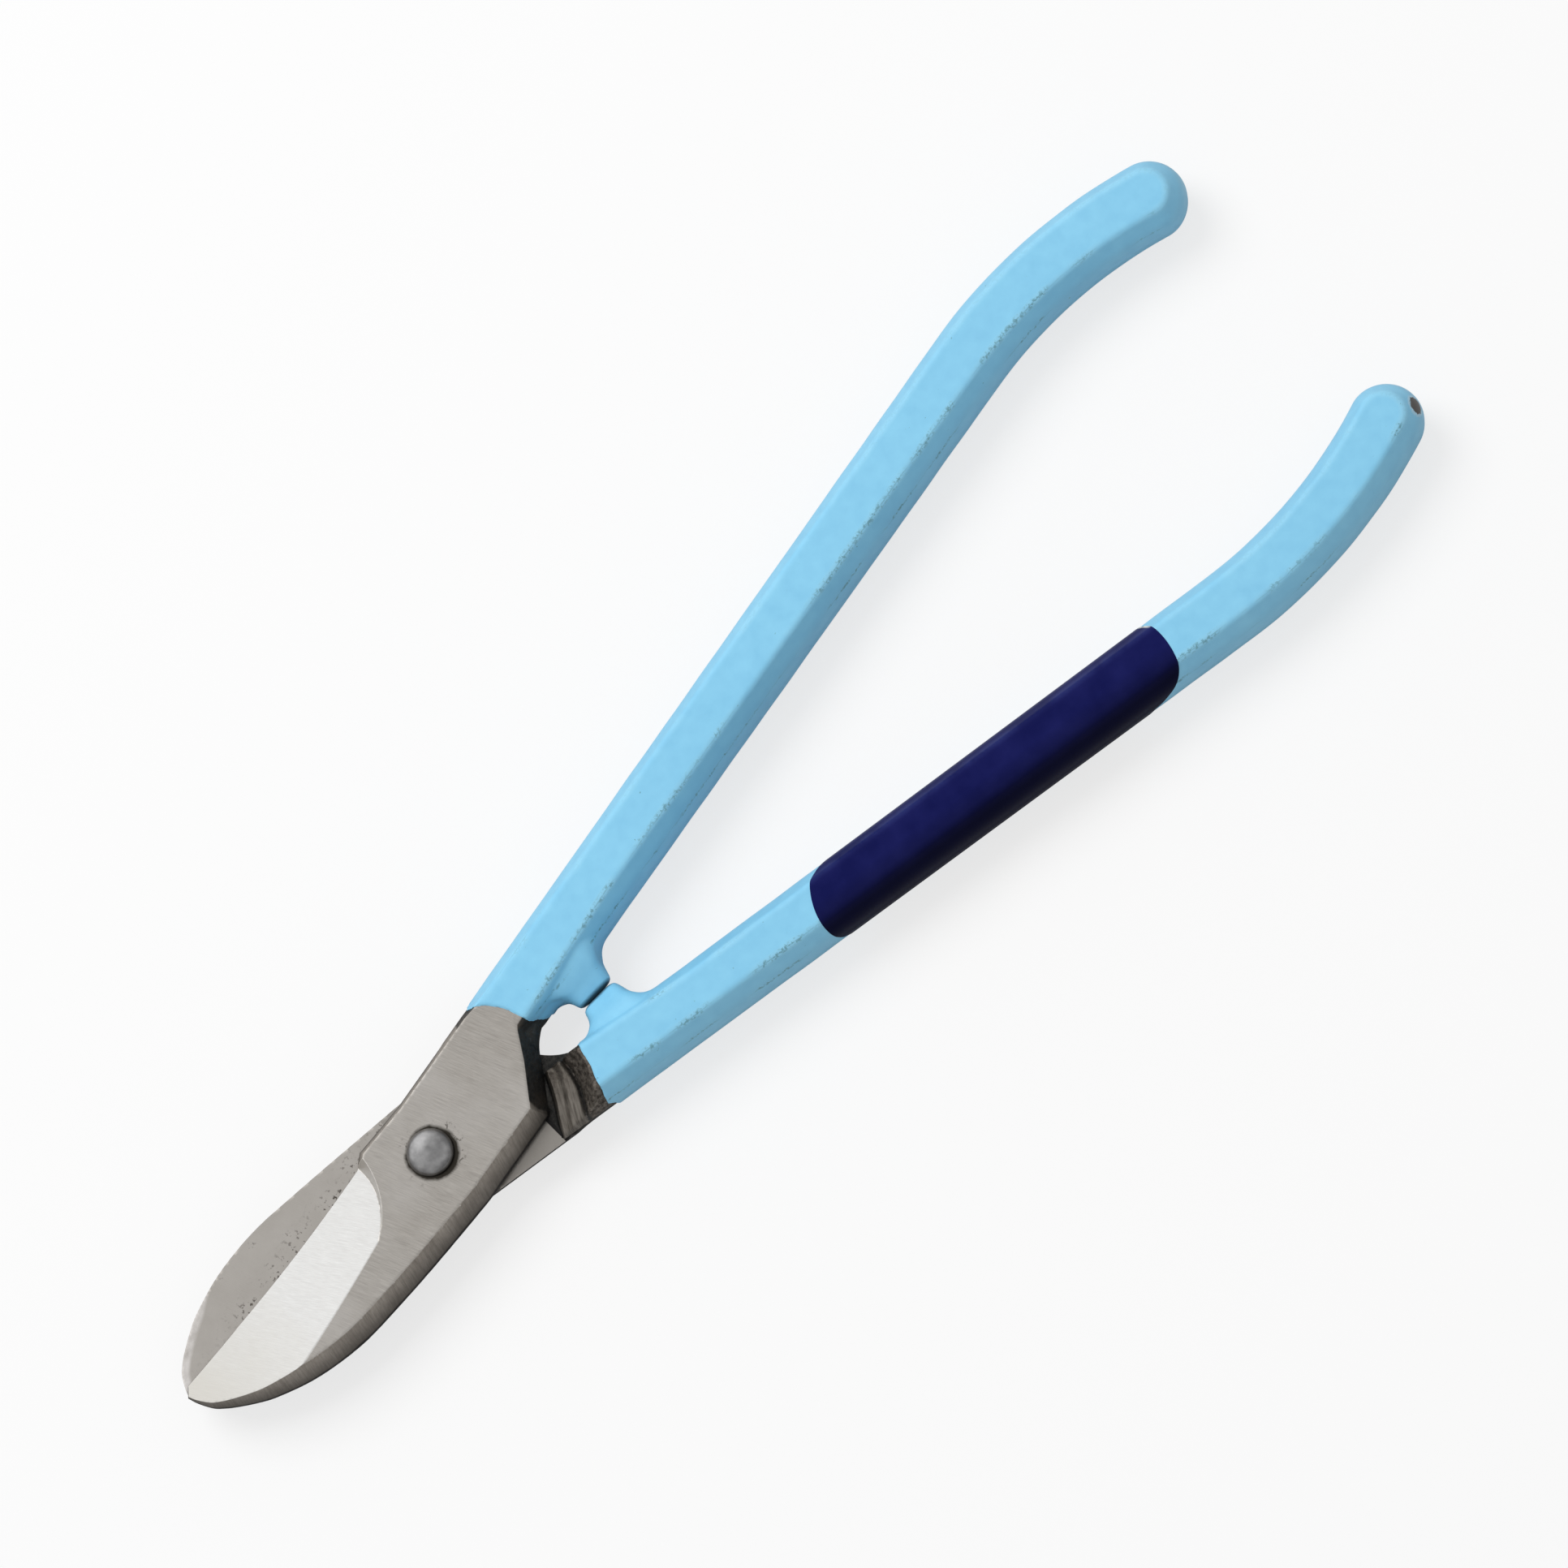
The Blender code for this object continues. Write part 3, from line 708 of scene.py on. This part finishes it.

# The dark ring of grime and pits round the rivet's head. Its middle is set off towards +X and -Y, away from
# the lamp, so that on that side it is also the head's painted shadow.
ring_middle = (0.00016, -0.00018, 0.0)
off_ring = wire(tree, "VectorMath", {0: spot, 1: (1.0, 1.0, 0.0)}, operation="MULTIPLY")
off_ring = wire(tree, "VectorMath", {0: off_ring, 1: ring_middle}, operation="DISTANCE")["Value"]
grime_and_head_shadow = (off_ring + (clouds - 0.5) * 0.0014).ramp(0.00295, 0.00335, 0.97, 0.0)
grime_and_head_shadow = grime_and_head_shadow | pits * clouds.ramp(0.47, 0.56) * off_ring.ramp(0.0033, 0.0042, 0.7, 0.0)

steel_colour = layered(
    side_colour,
    (black, black_colour),
    (black * past(zone(tree, "past_groove"), 0.0, 0.0004), slope_colour),
    (on_ridge, ridge_colour),
    (on_seat, seat_colour),
    (on_face, face_colour),
    (on_plunge, (0.66, 0.635, 0.60)),
    (on_bevel, bevel_colour),
    (grime_and_head_shadow * on_face, (0.030, 0.026, 0.020)))
steel_height = wire(tree, "Mix", {0: ground, 2: crumbs, 3: grain * 0.25})
finish_shader(tree, steel_colour, steel_height, 0.45, 0.00014)
feed(tree.nodes["Principled BSDF"], {"Roughness": ground.ramp(0.0, 1.0, 0.60, 0.42)})

for side, half in halves.items():
    half.name = side + "_half_forged"
    half.data.materials.clear()
    half.data.materials.append(forged_steel)
    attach(half, side + "_half")
    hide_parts(side + "_half_forging")


# The enamel on the two handles. Each handle and its lug were dipped in light blue stoving enamel up to
# the neck, and baked. The coat is thick enough to soften the forging's creases, gathers a little in
# the corners, and has worn through in specks along the edges. The dark lines along the creases on each
# handle's -Y side are partly that wear and partly painted shade.
enamel_step = 0.00030
paint_arc_centre = (0.0106, 0.0023)
paint_arc_radius = 0.0075
paint_ring_radius = 0.0206
paint_wave = 0.00012
paint_swell = 0.00003
coat_rim = 0.0004
plate_coat = 0.0002
plate_coat_end = 0.0255
coat_box = (0.0110, -0.0012, -0.0054), (0.1425, 0.0285, 0.0054)
cavity_start = 0.0115
knock, knock_width = (0.13775, -0.02070, 0.0077), 0.0013     # where the coat is knocked bare


def paint_line(side, x, y, z):
    """Distance past the edge of the dip: an arc on the ground side, a ring on the seat side."""
    outer = smooth_step(-0.001, 0.001, along_handle(x, y)[1])
    near = np.hypot(x - paint_arc_centre[0], y - paint_arc_centre[1]) - paint_arc_radius
    near -= 0.0013 * smooth_step(0.0040, 0.0006, z) * (1 - outer)
    far = np.hypot(x, y) - paint_ring_radius
    shift = 0.0034 * outer if side == "lower" else 0.0
    far -= 0.2 * shift * smooth_step(-0.0014, -0.0002, z)
    share = smooth_step(shift - 0.0012, 0.0016 + 0.0014 * outer + 0.5 * shift, z)
    return far + (near - far) * share + paint_wave * ripple(x, y, z, 0.0009, 1.0)


def enamel_form(side, x, y, z):
    form = painted_form(side, x, y, z)
    run, off = along_handle(x, y)
    wall = plate_wall(x, y, z, run) - plate_coat
    plate = soft_max(soft_min(wall, form, throat_width(z, off)), z - handle_half_thickness, 0.0003)
    plate = np.maximum(np.maximum(plate, -z), run - plate_coat_end)
    form = np.minimum(form, plate) + paint_swell * (1 + ripple(x, y, z, 0.0022, 2.0))
    return soft_max(form, -paint_line(side, x, y, z), coat_rim)


def dip_handle(side):
    points, faces = surface_of(lambda x, y, z: enamel_form(side, x, y, z), *coat_box, enamel_step)
    coat = mesh_object(side + "_coat", points, faces)
    combine(coat, handle_core(side, side + "_cavity", cavity_start, coat_thickness), "DIFFERENCE")
    x, y, z = settle(side, coat)
    run, off = along_handle(x, y)
    wall, chamfer, flat = bar_faces(side, x, y, z)
    # Chips are many near the neck and few elsewhere. The extra dark marks along each handle's -Y side, away
    # from the lamp, are painted shade
    shaded_side = smooth_step(-0.0005, 0.0005, off if side == "lower" else -off) * (run < handle_run)
    on_bar = smooth_step(0.00040, 0.00015, np.abs(handle_bar(side, x, y, z, 0.0)))
    add_zones(coat.data, past_flat=chamfer - flat, past_chamfer=wall - chamfer,
              marked=on_bar * np.maximum(0.15 + 0.85 * shaded_side, smooth_step(0.034, 0.029, x)),
              from_lug_face=np.where(np.abs(x - lug_middle) < 0.0035, y, 0.01))
    return coat


enamel_material, tree, spot = new_material("blue_stoving_enamel", {"Roughness": 0.38})
tone = noise(spot, 90.0, 3.0)
patches = noise(spot, 150.0, 3.0)
crumbs = noise(spot, 2600.0, 4.0, 0.65)
peel = noise(spot, 600.0, 2.0)
mottle = peel * 0.6 + tone * 0.4

# The creases of the coat: paler along the crest, a painted highlight; and a dark broken line beside it,
# partly wear and partly painted shade
waver = peel * 0.00026 - 0.00013
past_flat = zone(tree, "past_flat")
crest_highlight = abs(past_flat).ramp(0.00060, 0.00020, 0.0, 0.32) * patches.ramp(0.35, 0.6)
off_creases = reckon("MINIMUM", abs(past_flat + waver), abs(zone(tree, "past_chamfer") + waver) * 3.2)
wear_and_shade_line = off_creases.ramp(0.00010, 0.00002, 0.0, 0.48) * patches.ramp(0.42, 0.54, 0.05, 1.0)
wear_and_shade_line = wear_and_shade_line * crumbs.ramp(0.36, 0.54, 0.25, 1.0)
bruise_and_shade = off_creases.ramp(0.00045, 0.00010, 0.0, 0.75) * patches.ramp(0.47, 0.56)
bruise_and_shade = bruise_and_shade * grouped(speck_group, spot, Scale=2300.0, Amount=0.50, Softness=0.08)
stray = grouped(speck_group, spot, Scale=1300.0, Amount=0.285, Softness=0.03)
chips_and_shade = (wear_and_shade_line | bruise_and_shade) * zone(tree, "marked") | stray * 0.7

# Dark in the gap against the lug's face: painted shade.
lug_gap_shade = (zone(tree, "from_lug_face") + patches * 0.0003).ramp(0.00070, 0.00035, 0.0, 0.9)
off_knock = wire(tree, "VectorMath", {0: spot, 1: knock}, operation="DISTANCE")["Value"]
off_knock = off_knock + tone * knock_width + crumbs * 0.0009 - 0.00045
knock_edge = off_knock.ramp(knock_width * 1.60, knock_width * 1.45, 0.0, 0.5)
bare = off_knock.ramp(knock_width * 1.35, knock_width * 1.25)
enamel_colour = layered(
    blend(mottle.ramp(0.34, 0.66), (0.235, 0.600, 0.858), (0.272, 0.660, 0.911)),
    (crest_highlight, (0.40, 0.76, 0.95)),
    (chips_and_shade, (0.10, 0.26, 0.30)),
    (lug_gap_shade, (0.03, 0.07, 0.10)),
    (knock_edge, (0.60, 0.76, 0.86)),
    (bare, (0.075, 0.070, 0.065)))
finish_shader(tree, enamel_colour, peel - (chips_and_shade * 0.6 | bare), 0.10, 0.00012)

for side in ("upper", "lower"):
    coat = dip_handle(side)
    coat.name = side + "_handle_coat"
    coat.data.materials.clear()
    coat.data.materials.append(enamel_material)
    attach(coat, side + "_half")
    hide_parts(side + "_handle_enamel")


# The label on the lower handle: one piece of plain navy film with round ends, stuck round the
# handle a little askew. It hugs the flat, both chamfers and both walls, and stops short of the
# underside.
film_middle = 0.07533
film_skirts = (0.0000, 0.0041)   # how far it comes down past the parting line, inner side and outer
film_lift = 0.00003
film_thickness = 0.00007
line_start, line_stop = 0.044, 0.108


def poly_curve(name, points):
    """An open line as a curve object, for a node tree to sample."""
    data = bpy.data.curves.new(name, "CURVE")
    data.dimensions = "3D"
    spline = data.splines.new("POLY")
    spline.points.add(len(points) - 1)
    spline.points.foreach_set("co", [c for point in points for c in (*point, 1.0)])
    return new_object(name, data)


def handle_section(side, run, lift):
    """The coat's section at one run, from the inner skirt over the flat to the outer skirt."""
    cos, sin = math.cos(handle_splay), math.sin(handle_splay)
    turn = np.linspace(math.radians(90 + 106), math.radians(90 - 150), 500)
    near, far = np.zeros(len(turn)), np.full(len(turn), 0.008)
    for _ in range(30):
        middle = (near + far) / 2
        off, high = middle * np.cos(turn), -middle * np.sin(turn)
        x, y = run * cos - off * sin, handle_offset + run * sin + off * cos
        inside = handle_bar(side, x, y, high, 0.0) < lift
        near, far = np.where(inside, middle, near), np.where(inside, far, middle)
    points = zip(-near * np.cos(turn), near * np.sin(turn), np.zeros(len(turn)))
    return [point for point in points if point[1] > -film_skirts[0 if point[0] > 0 else 1]]


section_points = handle_section("lower", film_middle, film_lift)
film_wrap = float(np.linalg.norm(np.diff(np.array(section_points), axis=0), axis=1).sum())
line_runs = np.minimum(np.linspace(line_start, line_stop, 65), handle_straight)
line_points = [(run * math.cos(handle_splay), -handle_offset - run * math.sin(handle_splay), seat_height)
               for run in line_runs]


def sampled(curve, mode, place):
    """A curve object sampled at a Length along it or at a Factor, its share."""
    line = wire(curve.tree, "GeometryNodeObjectInfo", {"Object": curve})["Geometry"]
    return wire(curve.tree, "GeometryNodeSampleCurve", {"Curves": line, mode: place}, use_all_curves=True,
                mode=mode.upper())


def hand_over(shape, material, put):
    """Ends a geometry tree: its instances made real, its material set."""
    real = wire(shape.tree, "GeometryNodeRealizeInstances", {"Geometry": shape})
    dressed = wire(shape.tree, "GeometryNodeSetMaterial", {"Geometry": real, "Material": material})
    feed(put, {"Geometry": dressed})


def grown_piece(name, tree, inputs):
    """Runs a tree once with those inputs, keeps its result as a plain mesh, and drops its guides."""
    piece = new_object(name, bpy.data.meshes.new(name))
    step = piece.modifiers.new(name, "NODES")
    step.node_group = tree
    sockets = {s.name: s.identifier for s in tree.interface.items_tree if s.in_out == "INPUT"}
    for label, value in inputs.items():
        step[sockets[label]] = value
    made_plain(piece)
    for value in inputs.values():
        if isinstance(value, bpy.types.Object):
            bpy.data.objects.remove(value)
    return piece


label_film, tree, spot = new_material("navy_film", {"Roughness": 0.32, "Specular IOR Level": 0.045})
on_film = wire(tree, "SeparateXYZ", {0: wire(tree, "Attribute", attribute_name="film_place")["Vector"]})
scuff = noise(spot, 300.0, 4.0)
# A paler streak along the film's upper crease: painted highlight.
crest_highlight = abs(on_film["Y"] + 0.0052).ramp(0.0010, 0.0001) * scuff.ramp(0.40, 0.60, 0.1, 0.5)
frayed = (on_film["Z"] - on_film["X"]).ramp(0.00042, 0.00018) * scuff.ramp(0.45, 0.52)
frayed = frayed * abs(on_film["Y"] + 0.0065).ramp(0.0016, 0.0009)
# The film darkens down its lower side: painted shade.
film_colour = layered(
    blend(scuff.ramp(0.35, 0.7), (0.0060, 0.0080, 0.078), (0.0105, 0.0130, 0.102)),
    (on_film["Y"].ramp(-0.0022, 0.0014, 0.0, 0.85), (0.0014, 0.0018, 0.011)),
    (crest_highlight, (0.035, 0.048, 0.19)),
    (frayed, (0.72, 0.76, 0.74)))
finish_shader(tree, film_colour, scuff, 0.08, 0.0001)

film_inputs = {
    "Handle line": poly_curve("handle_line", line_points),
    "Section": poly_curve("handle_section", section_points),
    "Middle run": film_middle - line_start,
    "Length": 0.04975,
    "Wrap": film_wrap,
    "End round": 0.0095,
    "Round change": -0.0008,     # the far end is less round, but cut more askew
    "Skew": -0.085,
    "Skew change": -0.165,
    "Far cut": 72.0,             # how sharply its far lower corner is cut back, per metre
    "Far cut reach": 0.0055,
    "Handle widening": handle_width_gain / handle_run / 2,
    "Rows along": 161,
    "Rows round": 97,
    "Film": label_film}
tree, given, put = new_group("wrapped_film", "GeometryNodeTree", film_inputs, {"Geometry": "Geometry"})
sheet = wire(tree, "GeometryNodeMeshGrid", {"Size X": 2.0, "Size Y": given["Wrap"],
                                            "Vertices X": given["Rows along"],
                                            "Vertices Y": given["Rows round"]})
flat = wire(tree, "SeparateXYZ", {0: wire(tree, "GeometryNodeInputPosition")})
along, aside = flat["X"], flat["Y"]
half_wrap = given["Wrap"] * 0.5
far_share = (along + 1.0) * 0.5
end_round = far_share * given["Round change"] + given["End round"]

# Round ends, the far one with its corner cut back
bulge = 1.0 - reckon("POWER", reckon("DIVIDE", aside, half_wrap * 1.003), 2.0)
reach = end_round * (reckon("SQRT", bulge) - 1.0) + given["Length"] * 0.5
unskewed = along * reach
skew = far_share * given["Skew change"] + given["Skew"]
lower_side = wire(tree, "Clamp", {"Value": aside, "Max": given["Far cut reach"]})
cut_back = reckon("POWER", lower_side, 2.0) * (far_share * given["Far cut"])
from_middle = aside * skew + (unskewed - cut_back)
on_line = sampled(given["Handle line"], "Length", from_middle + given["Middle run"])
section = wire(tree, "SeparateXYZ", {0: sampled(given["Section"], "Length", aside + half_wrap)["Position"]})

# Off its middle run, the section widens with the handle
widened = wire(tree, "Clamp", {"Value": section["X"] * 400.0, "Min": -1.0, "Max": 1.0})
widened = widened * (from_middle * given["Handle widening"])
across = wire(tree, "VectorMath", {0: (0.0, 0.0, 1.0), 1: on_line["Tangent"]}, operation="CROSS_PRODUCT")
across = wire(tree, "VectorMath", {0: across, "Scale": section["X"] + widened}, operation="SCALE")
upward = wire(tree, "CombineXYZ", {"Z": section["Y"]})
spot_on = wire(tree, "VectorMath", {0: on_line["Position"], 1: across}, operation="ADD")
spot_on = wire(tree, "VectorMath", {0: spot_on, 1: upward}, operation="ADD")
film_place = wire(tree, "CombineXYZ", {"X": unskewed, "Y": aside, "Z": reach})
marked = wire(tree, "GeometryNodeStoreNamedAttribute", {"Geometry": sheet, "Name": "film_place",
                                                        "Value": film_place}, data_type="FLOAT_VECTOR")
wrapped = wire(tree, "GeometryNodeSetPosition", {"Geometry": marked, "Position": spot_on})
hand_over(wrapped, given["Film"], put)
film = grown_piece("wrapped_label", tree, film_inputs)
film_wall = film.modifiers.new("film", "SOLIDIFY")
film_wall.thickness, film_wall.offset = film_thickness, 1.0
made_plain(film)
film.data.shade_smooth()
film.data.set_sharp_from_angle(angle=math.radians(50))
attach(film, "lower_half")
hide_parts("handle_label")


# The pivot rivet: a plain steel rivet through both bosses. Its domed head was set in a die, which
# left the crown a little flat, and its tail was peened down by hand until the halves turned snugly.
head_seat = seat_height + boss_thickness + 0.00002
head_radius = 0.0028
head_height = 0.00168
head_flatness = 2.35
head_fullness = 2.1
shank_radius = 0.0020
tail_face = 0.00001
tail_radius = 0.0030
tail_height = 0.00128
tail_flat = 0.72              # the flat of the tail, as a share of its radius
tail_round = 0.62             # the round of its rim, as a share of its height
crown_steps = 22

profile = [(0.0, 0.0, tail_face), (tail_radius * tail_flat, 0.0, tail_face)]
for turn in np.linspace(0.0, math.pi / 2, 9)[1:]:
    profile.append((tail_radius * (tail_flat + (1 - tail_flat) * math.sin(turn)), 0.0,
                    tail_face + tail_height * tail_round * (1 - math.cos(turn))))
profile += [(tail_radius, 0.0, tail_height), (shank_radius, 0.0, tail_height),
            (shank_radius, 0.0, head_seat), (head_radius, 0.0, head_seat)]
for turn in np.linspace(0.0, math.pi / 2, crown_steps + 1)[1:]:
    profile.append((head_radius * math.cos(turn) ** (2 / head_flatness), 0.0,
                    head_seat + head_height * math.sin(turn) ** (2 / head_fullness)))

rivet_steel, tree, spot = new_material("peened_steel", {"Metallic": 1.0, "Roughness": 0.27})
clouds = noise(spot, 700.0, 4.0)
height_up = wire(tree, "SeparateXYZ", {0: spot})["Z"]
# The head darkens down its flank below the shoulder: painted shade.
shaded_flank = (clouds * 0.0006 + height_up).ramp(head_seat + 0.0004, head_seat + 0.0016)
crown_colour = blend(clouds.ramp(0.35, 0.65), (0.23, 0.228, 0.230), (0.36, 0.357, 0.358))
rivet_colour = blend(shaded_flank, (0.055, 0.052, 0.050), crown_colour)
finish_shader(tree, rivet_colour, clouds, 0.14, 0.0001)

rivet_inputs = {"Profile": poly_curve("rivet_profile", profile), "Sides": 97, "Rings": 140,
                "Peening": 0.00004, "Dent size": 900.0, "Seed": 3.0, "Weld": 0.000002, "Steel": rivet_steel}
tree, given, put = new_group("turned_rivet", "GeometryNodeTree", rivet_inputs, {"Geometry": "Geometry"})
sheet = wire(tree, "GeometryNodeMeshGrid", {"Size X": 1.0, "Size Y": 1.0, "Vertices X": given["Sides"],
                                            "Vertices Y": given["Rings"]})
flat = wire(tree, "SeparateXYZ", {0: wire(tree, "GeometryNodeInputPosition")})
turn = (flat["X"] + 0.5) * (2 * math.pi)
on_profile = sampled(given["Profile"], "Factor", flat["Y"] + 0.5)["Position"]
on_profile = wire(tree, "SeparateXYZ", {0: on_profile})
lathed = wire(tree, "CombineXYZ", {"X": on_profile["X"] * reckon("COSINE", turn),
                                   "Y": on_profile["X"] * reckon("SINE", turn), "Z": on_profile["Z"]})
spun = wire(tree, "GeometryNodeSetPosition", {"Geometry": sheet, "Position": lathed})
welded = wire(tree, "GeometryNodeMergeByDistance", {"Geometry": spun, "Distance": given["Weld"]})
dents = wire(tree, "TexNoise", {"Scale": given["Dent size"], "W": given["Seed"], "Detail": 1.0},
             noise_dimensions="4D")
dents = (dents - 0.62) * given["Peening"]
facing = wire(tree, "GeometryNodeInputNormal")
sway = wire(tree, "VectorMath", {0: facing, "Scale": dents}, operation="SCALE")
peened = wire(tree, "GeometryNodeSetPosition", {"Geometry": welded, "Offset": sway})
hand_over(peened, given["Steel"], put)
rivet = grown_piece("peened_rivet", tree, rivet_inputs)
rivet.data.shade_smooth()
rivet.data.set_sharp_from_angle(angle=math.radians(40))
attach(rivet, "lower_half")
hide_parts("pivot_rivet")


# The floor and the light: a plain white table under one soft lamp, in a soft white room.
floor_half, floor_height = 2.0, -0.0002
floor_corners = [(-1, -1), (1, -1), (1, 1), (-1, 1)]
floor_mesh = bpy.data.meshes.new("floor")
floor_mesh.from_pydata([(floor_half * x, floor_half * y, floor_height) for x, y in floor_corners], [],
                       [(0, 1, 2, 3)])
floor = new_object("floor", floor_mesh)
floor_paper, tree, spot = new_material("floor_paper", {"Roughness": 0.9})
glow = wire(tree, "Emission", {"Color": (1.0, 1.0, 1.0, 1.0), "Strength": 1.0})
seen = wire(tree, "LightPath")["Is Camera Ray"]
paper = tree.nodes["Principled BSDF"]
feed(paper, {"Base Color": blend(seen, (0.66, 0.66, 0.66), (0.94, 0.94, 0.94))})
lit = wire(tree, "MixShader", {0: seen * 0.72, 1: Value(paper.outputs[0]), 2: glow})
feed(tree.nodes["Material Output"], {"Surface": lit})
floor_mesh.materials.append(floor_paper)

window_direction = (-0.20, 0.90, 0.39)   # polished faces mirror a soft window low on this side
world = bpy.data.worlds.new("studio")
bpy.context.scene.world = world
world.use_nodes = True
tree = world.node_tree
path = wire(tree, "LightPath")
towards = wire(tree, "TexCoord")["Generated"]
towards_window = wire(tree, "VectorMath", {0: towards, 1: window_direction}, operation="DOT_PRODUCT")["Value"]
mirrored = towards_window.ramp(0.62, 0.95, 0.75, 1.65) * towards_window.ramp(-0.90, -0.30, 0.45, 1.0)
plain = path["Is Camera Ray"] | path["Is Transmission Ray"]
strength = wire(tree, "Mix", {0: plain, 2: 0.45, 3: 1.0})
strength = wire(tree, "Mix", {0: path["Is Glossy Ray"], 2: strength, 3: mirrored})
feed(tree.nodes["Background"], {"Color": (1.0, 1.0, 1.0, 1.0), "Strength": strength})

# The key lamp, high on the far side
lamp_place, lamp_aim = Vector((-0.03, 0.51, 0.86)), Vector((0.05, 0.0, 0.0))
lamp = bpy.data.lights.new("key", "AREA")
lamp.energy, lamp.shape, lamp.size = 6.3, "DISK", 0.7
holder = new_object("key", lamp)
holder.location = lamp_place
holder.rotation_euler = (lamp_aim - lamp_place).to_track_quat("-Z", "Y").to_euler()
holder.visible_glossy = False

# The camera, where the photograph's was: a long lens, tilted 15 degrees off the pivot axis.
aim = Vector((0.0576, 0.0, 0.0054))
distance = 0.9
tilt, sway, roll = math.radians(15.364), math.radians(-0.104), math.radians(45.63)
image_size = 1932
pixels_per_metre = 10859.0
image_point = (978.5, 979.3)
sensor_width = 36.0
back = Vector((math.sin(sway), -math.sin(tilt) * math.cos(sway), math.cos(tilt) * math.cos(sway)))
level = (Vector((1, 0, 0)) - back * back.x).normalized()
upright = back.cross(level)
right = level * math.cos(roll) - upright * math.sin(roll)
above = level * math.sin(roll) + upright * math.cos(roll)
camera = new_object("camera", bpy.data.cameras.new("camera"))
turn = Matrix((right, above, back)).transposed().to_4x4()
turn.translation = aim + back * distance
camera.matrix_world = turn
camera.data.sensor_width = sensor_width
camera.data.lens = sensor_width * distance * pixels_per_metre / image_size
camera.data.shift_x = (image_size / 2 - image_point[0]) / image_size
camera.data.shift_y = (image_point[1] - image_size / 2) / image_size
camera.data.clip_start, camera.data.clip_end = 0.01, 20.0
bpy.context.scene.camera = camera
bpy.context.scene.view_settings.view_transform = "Standard"
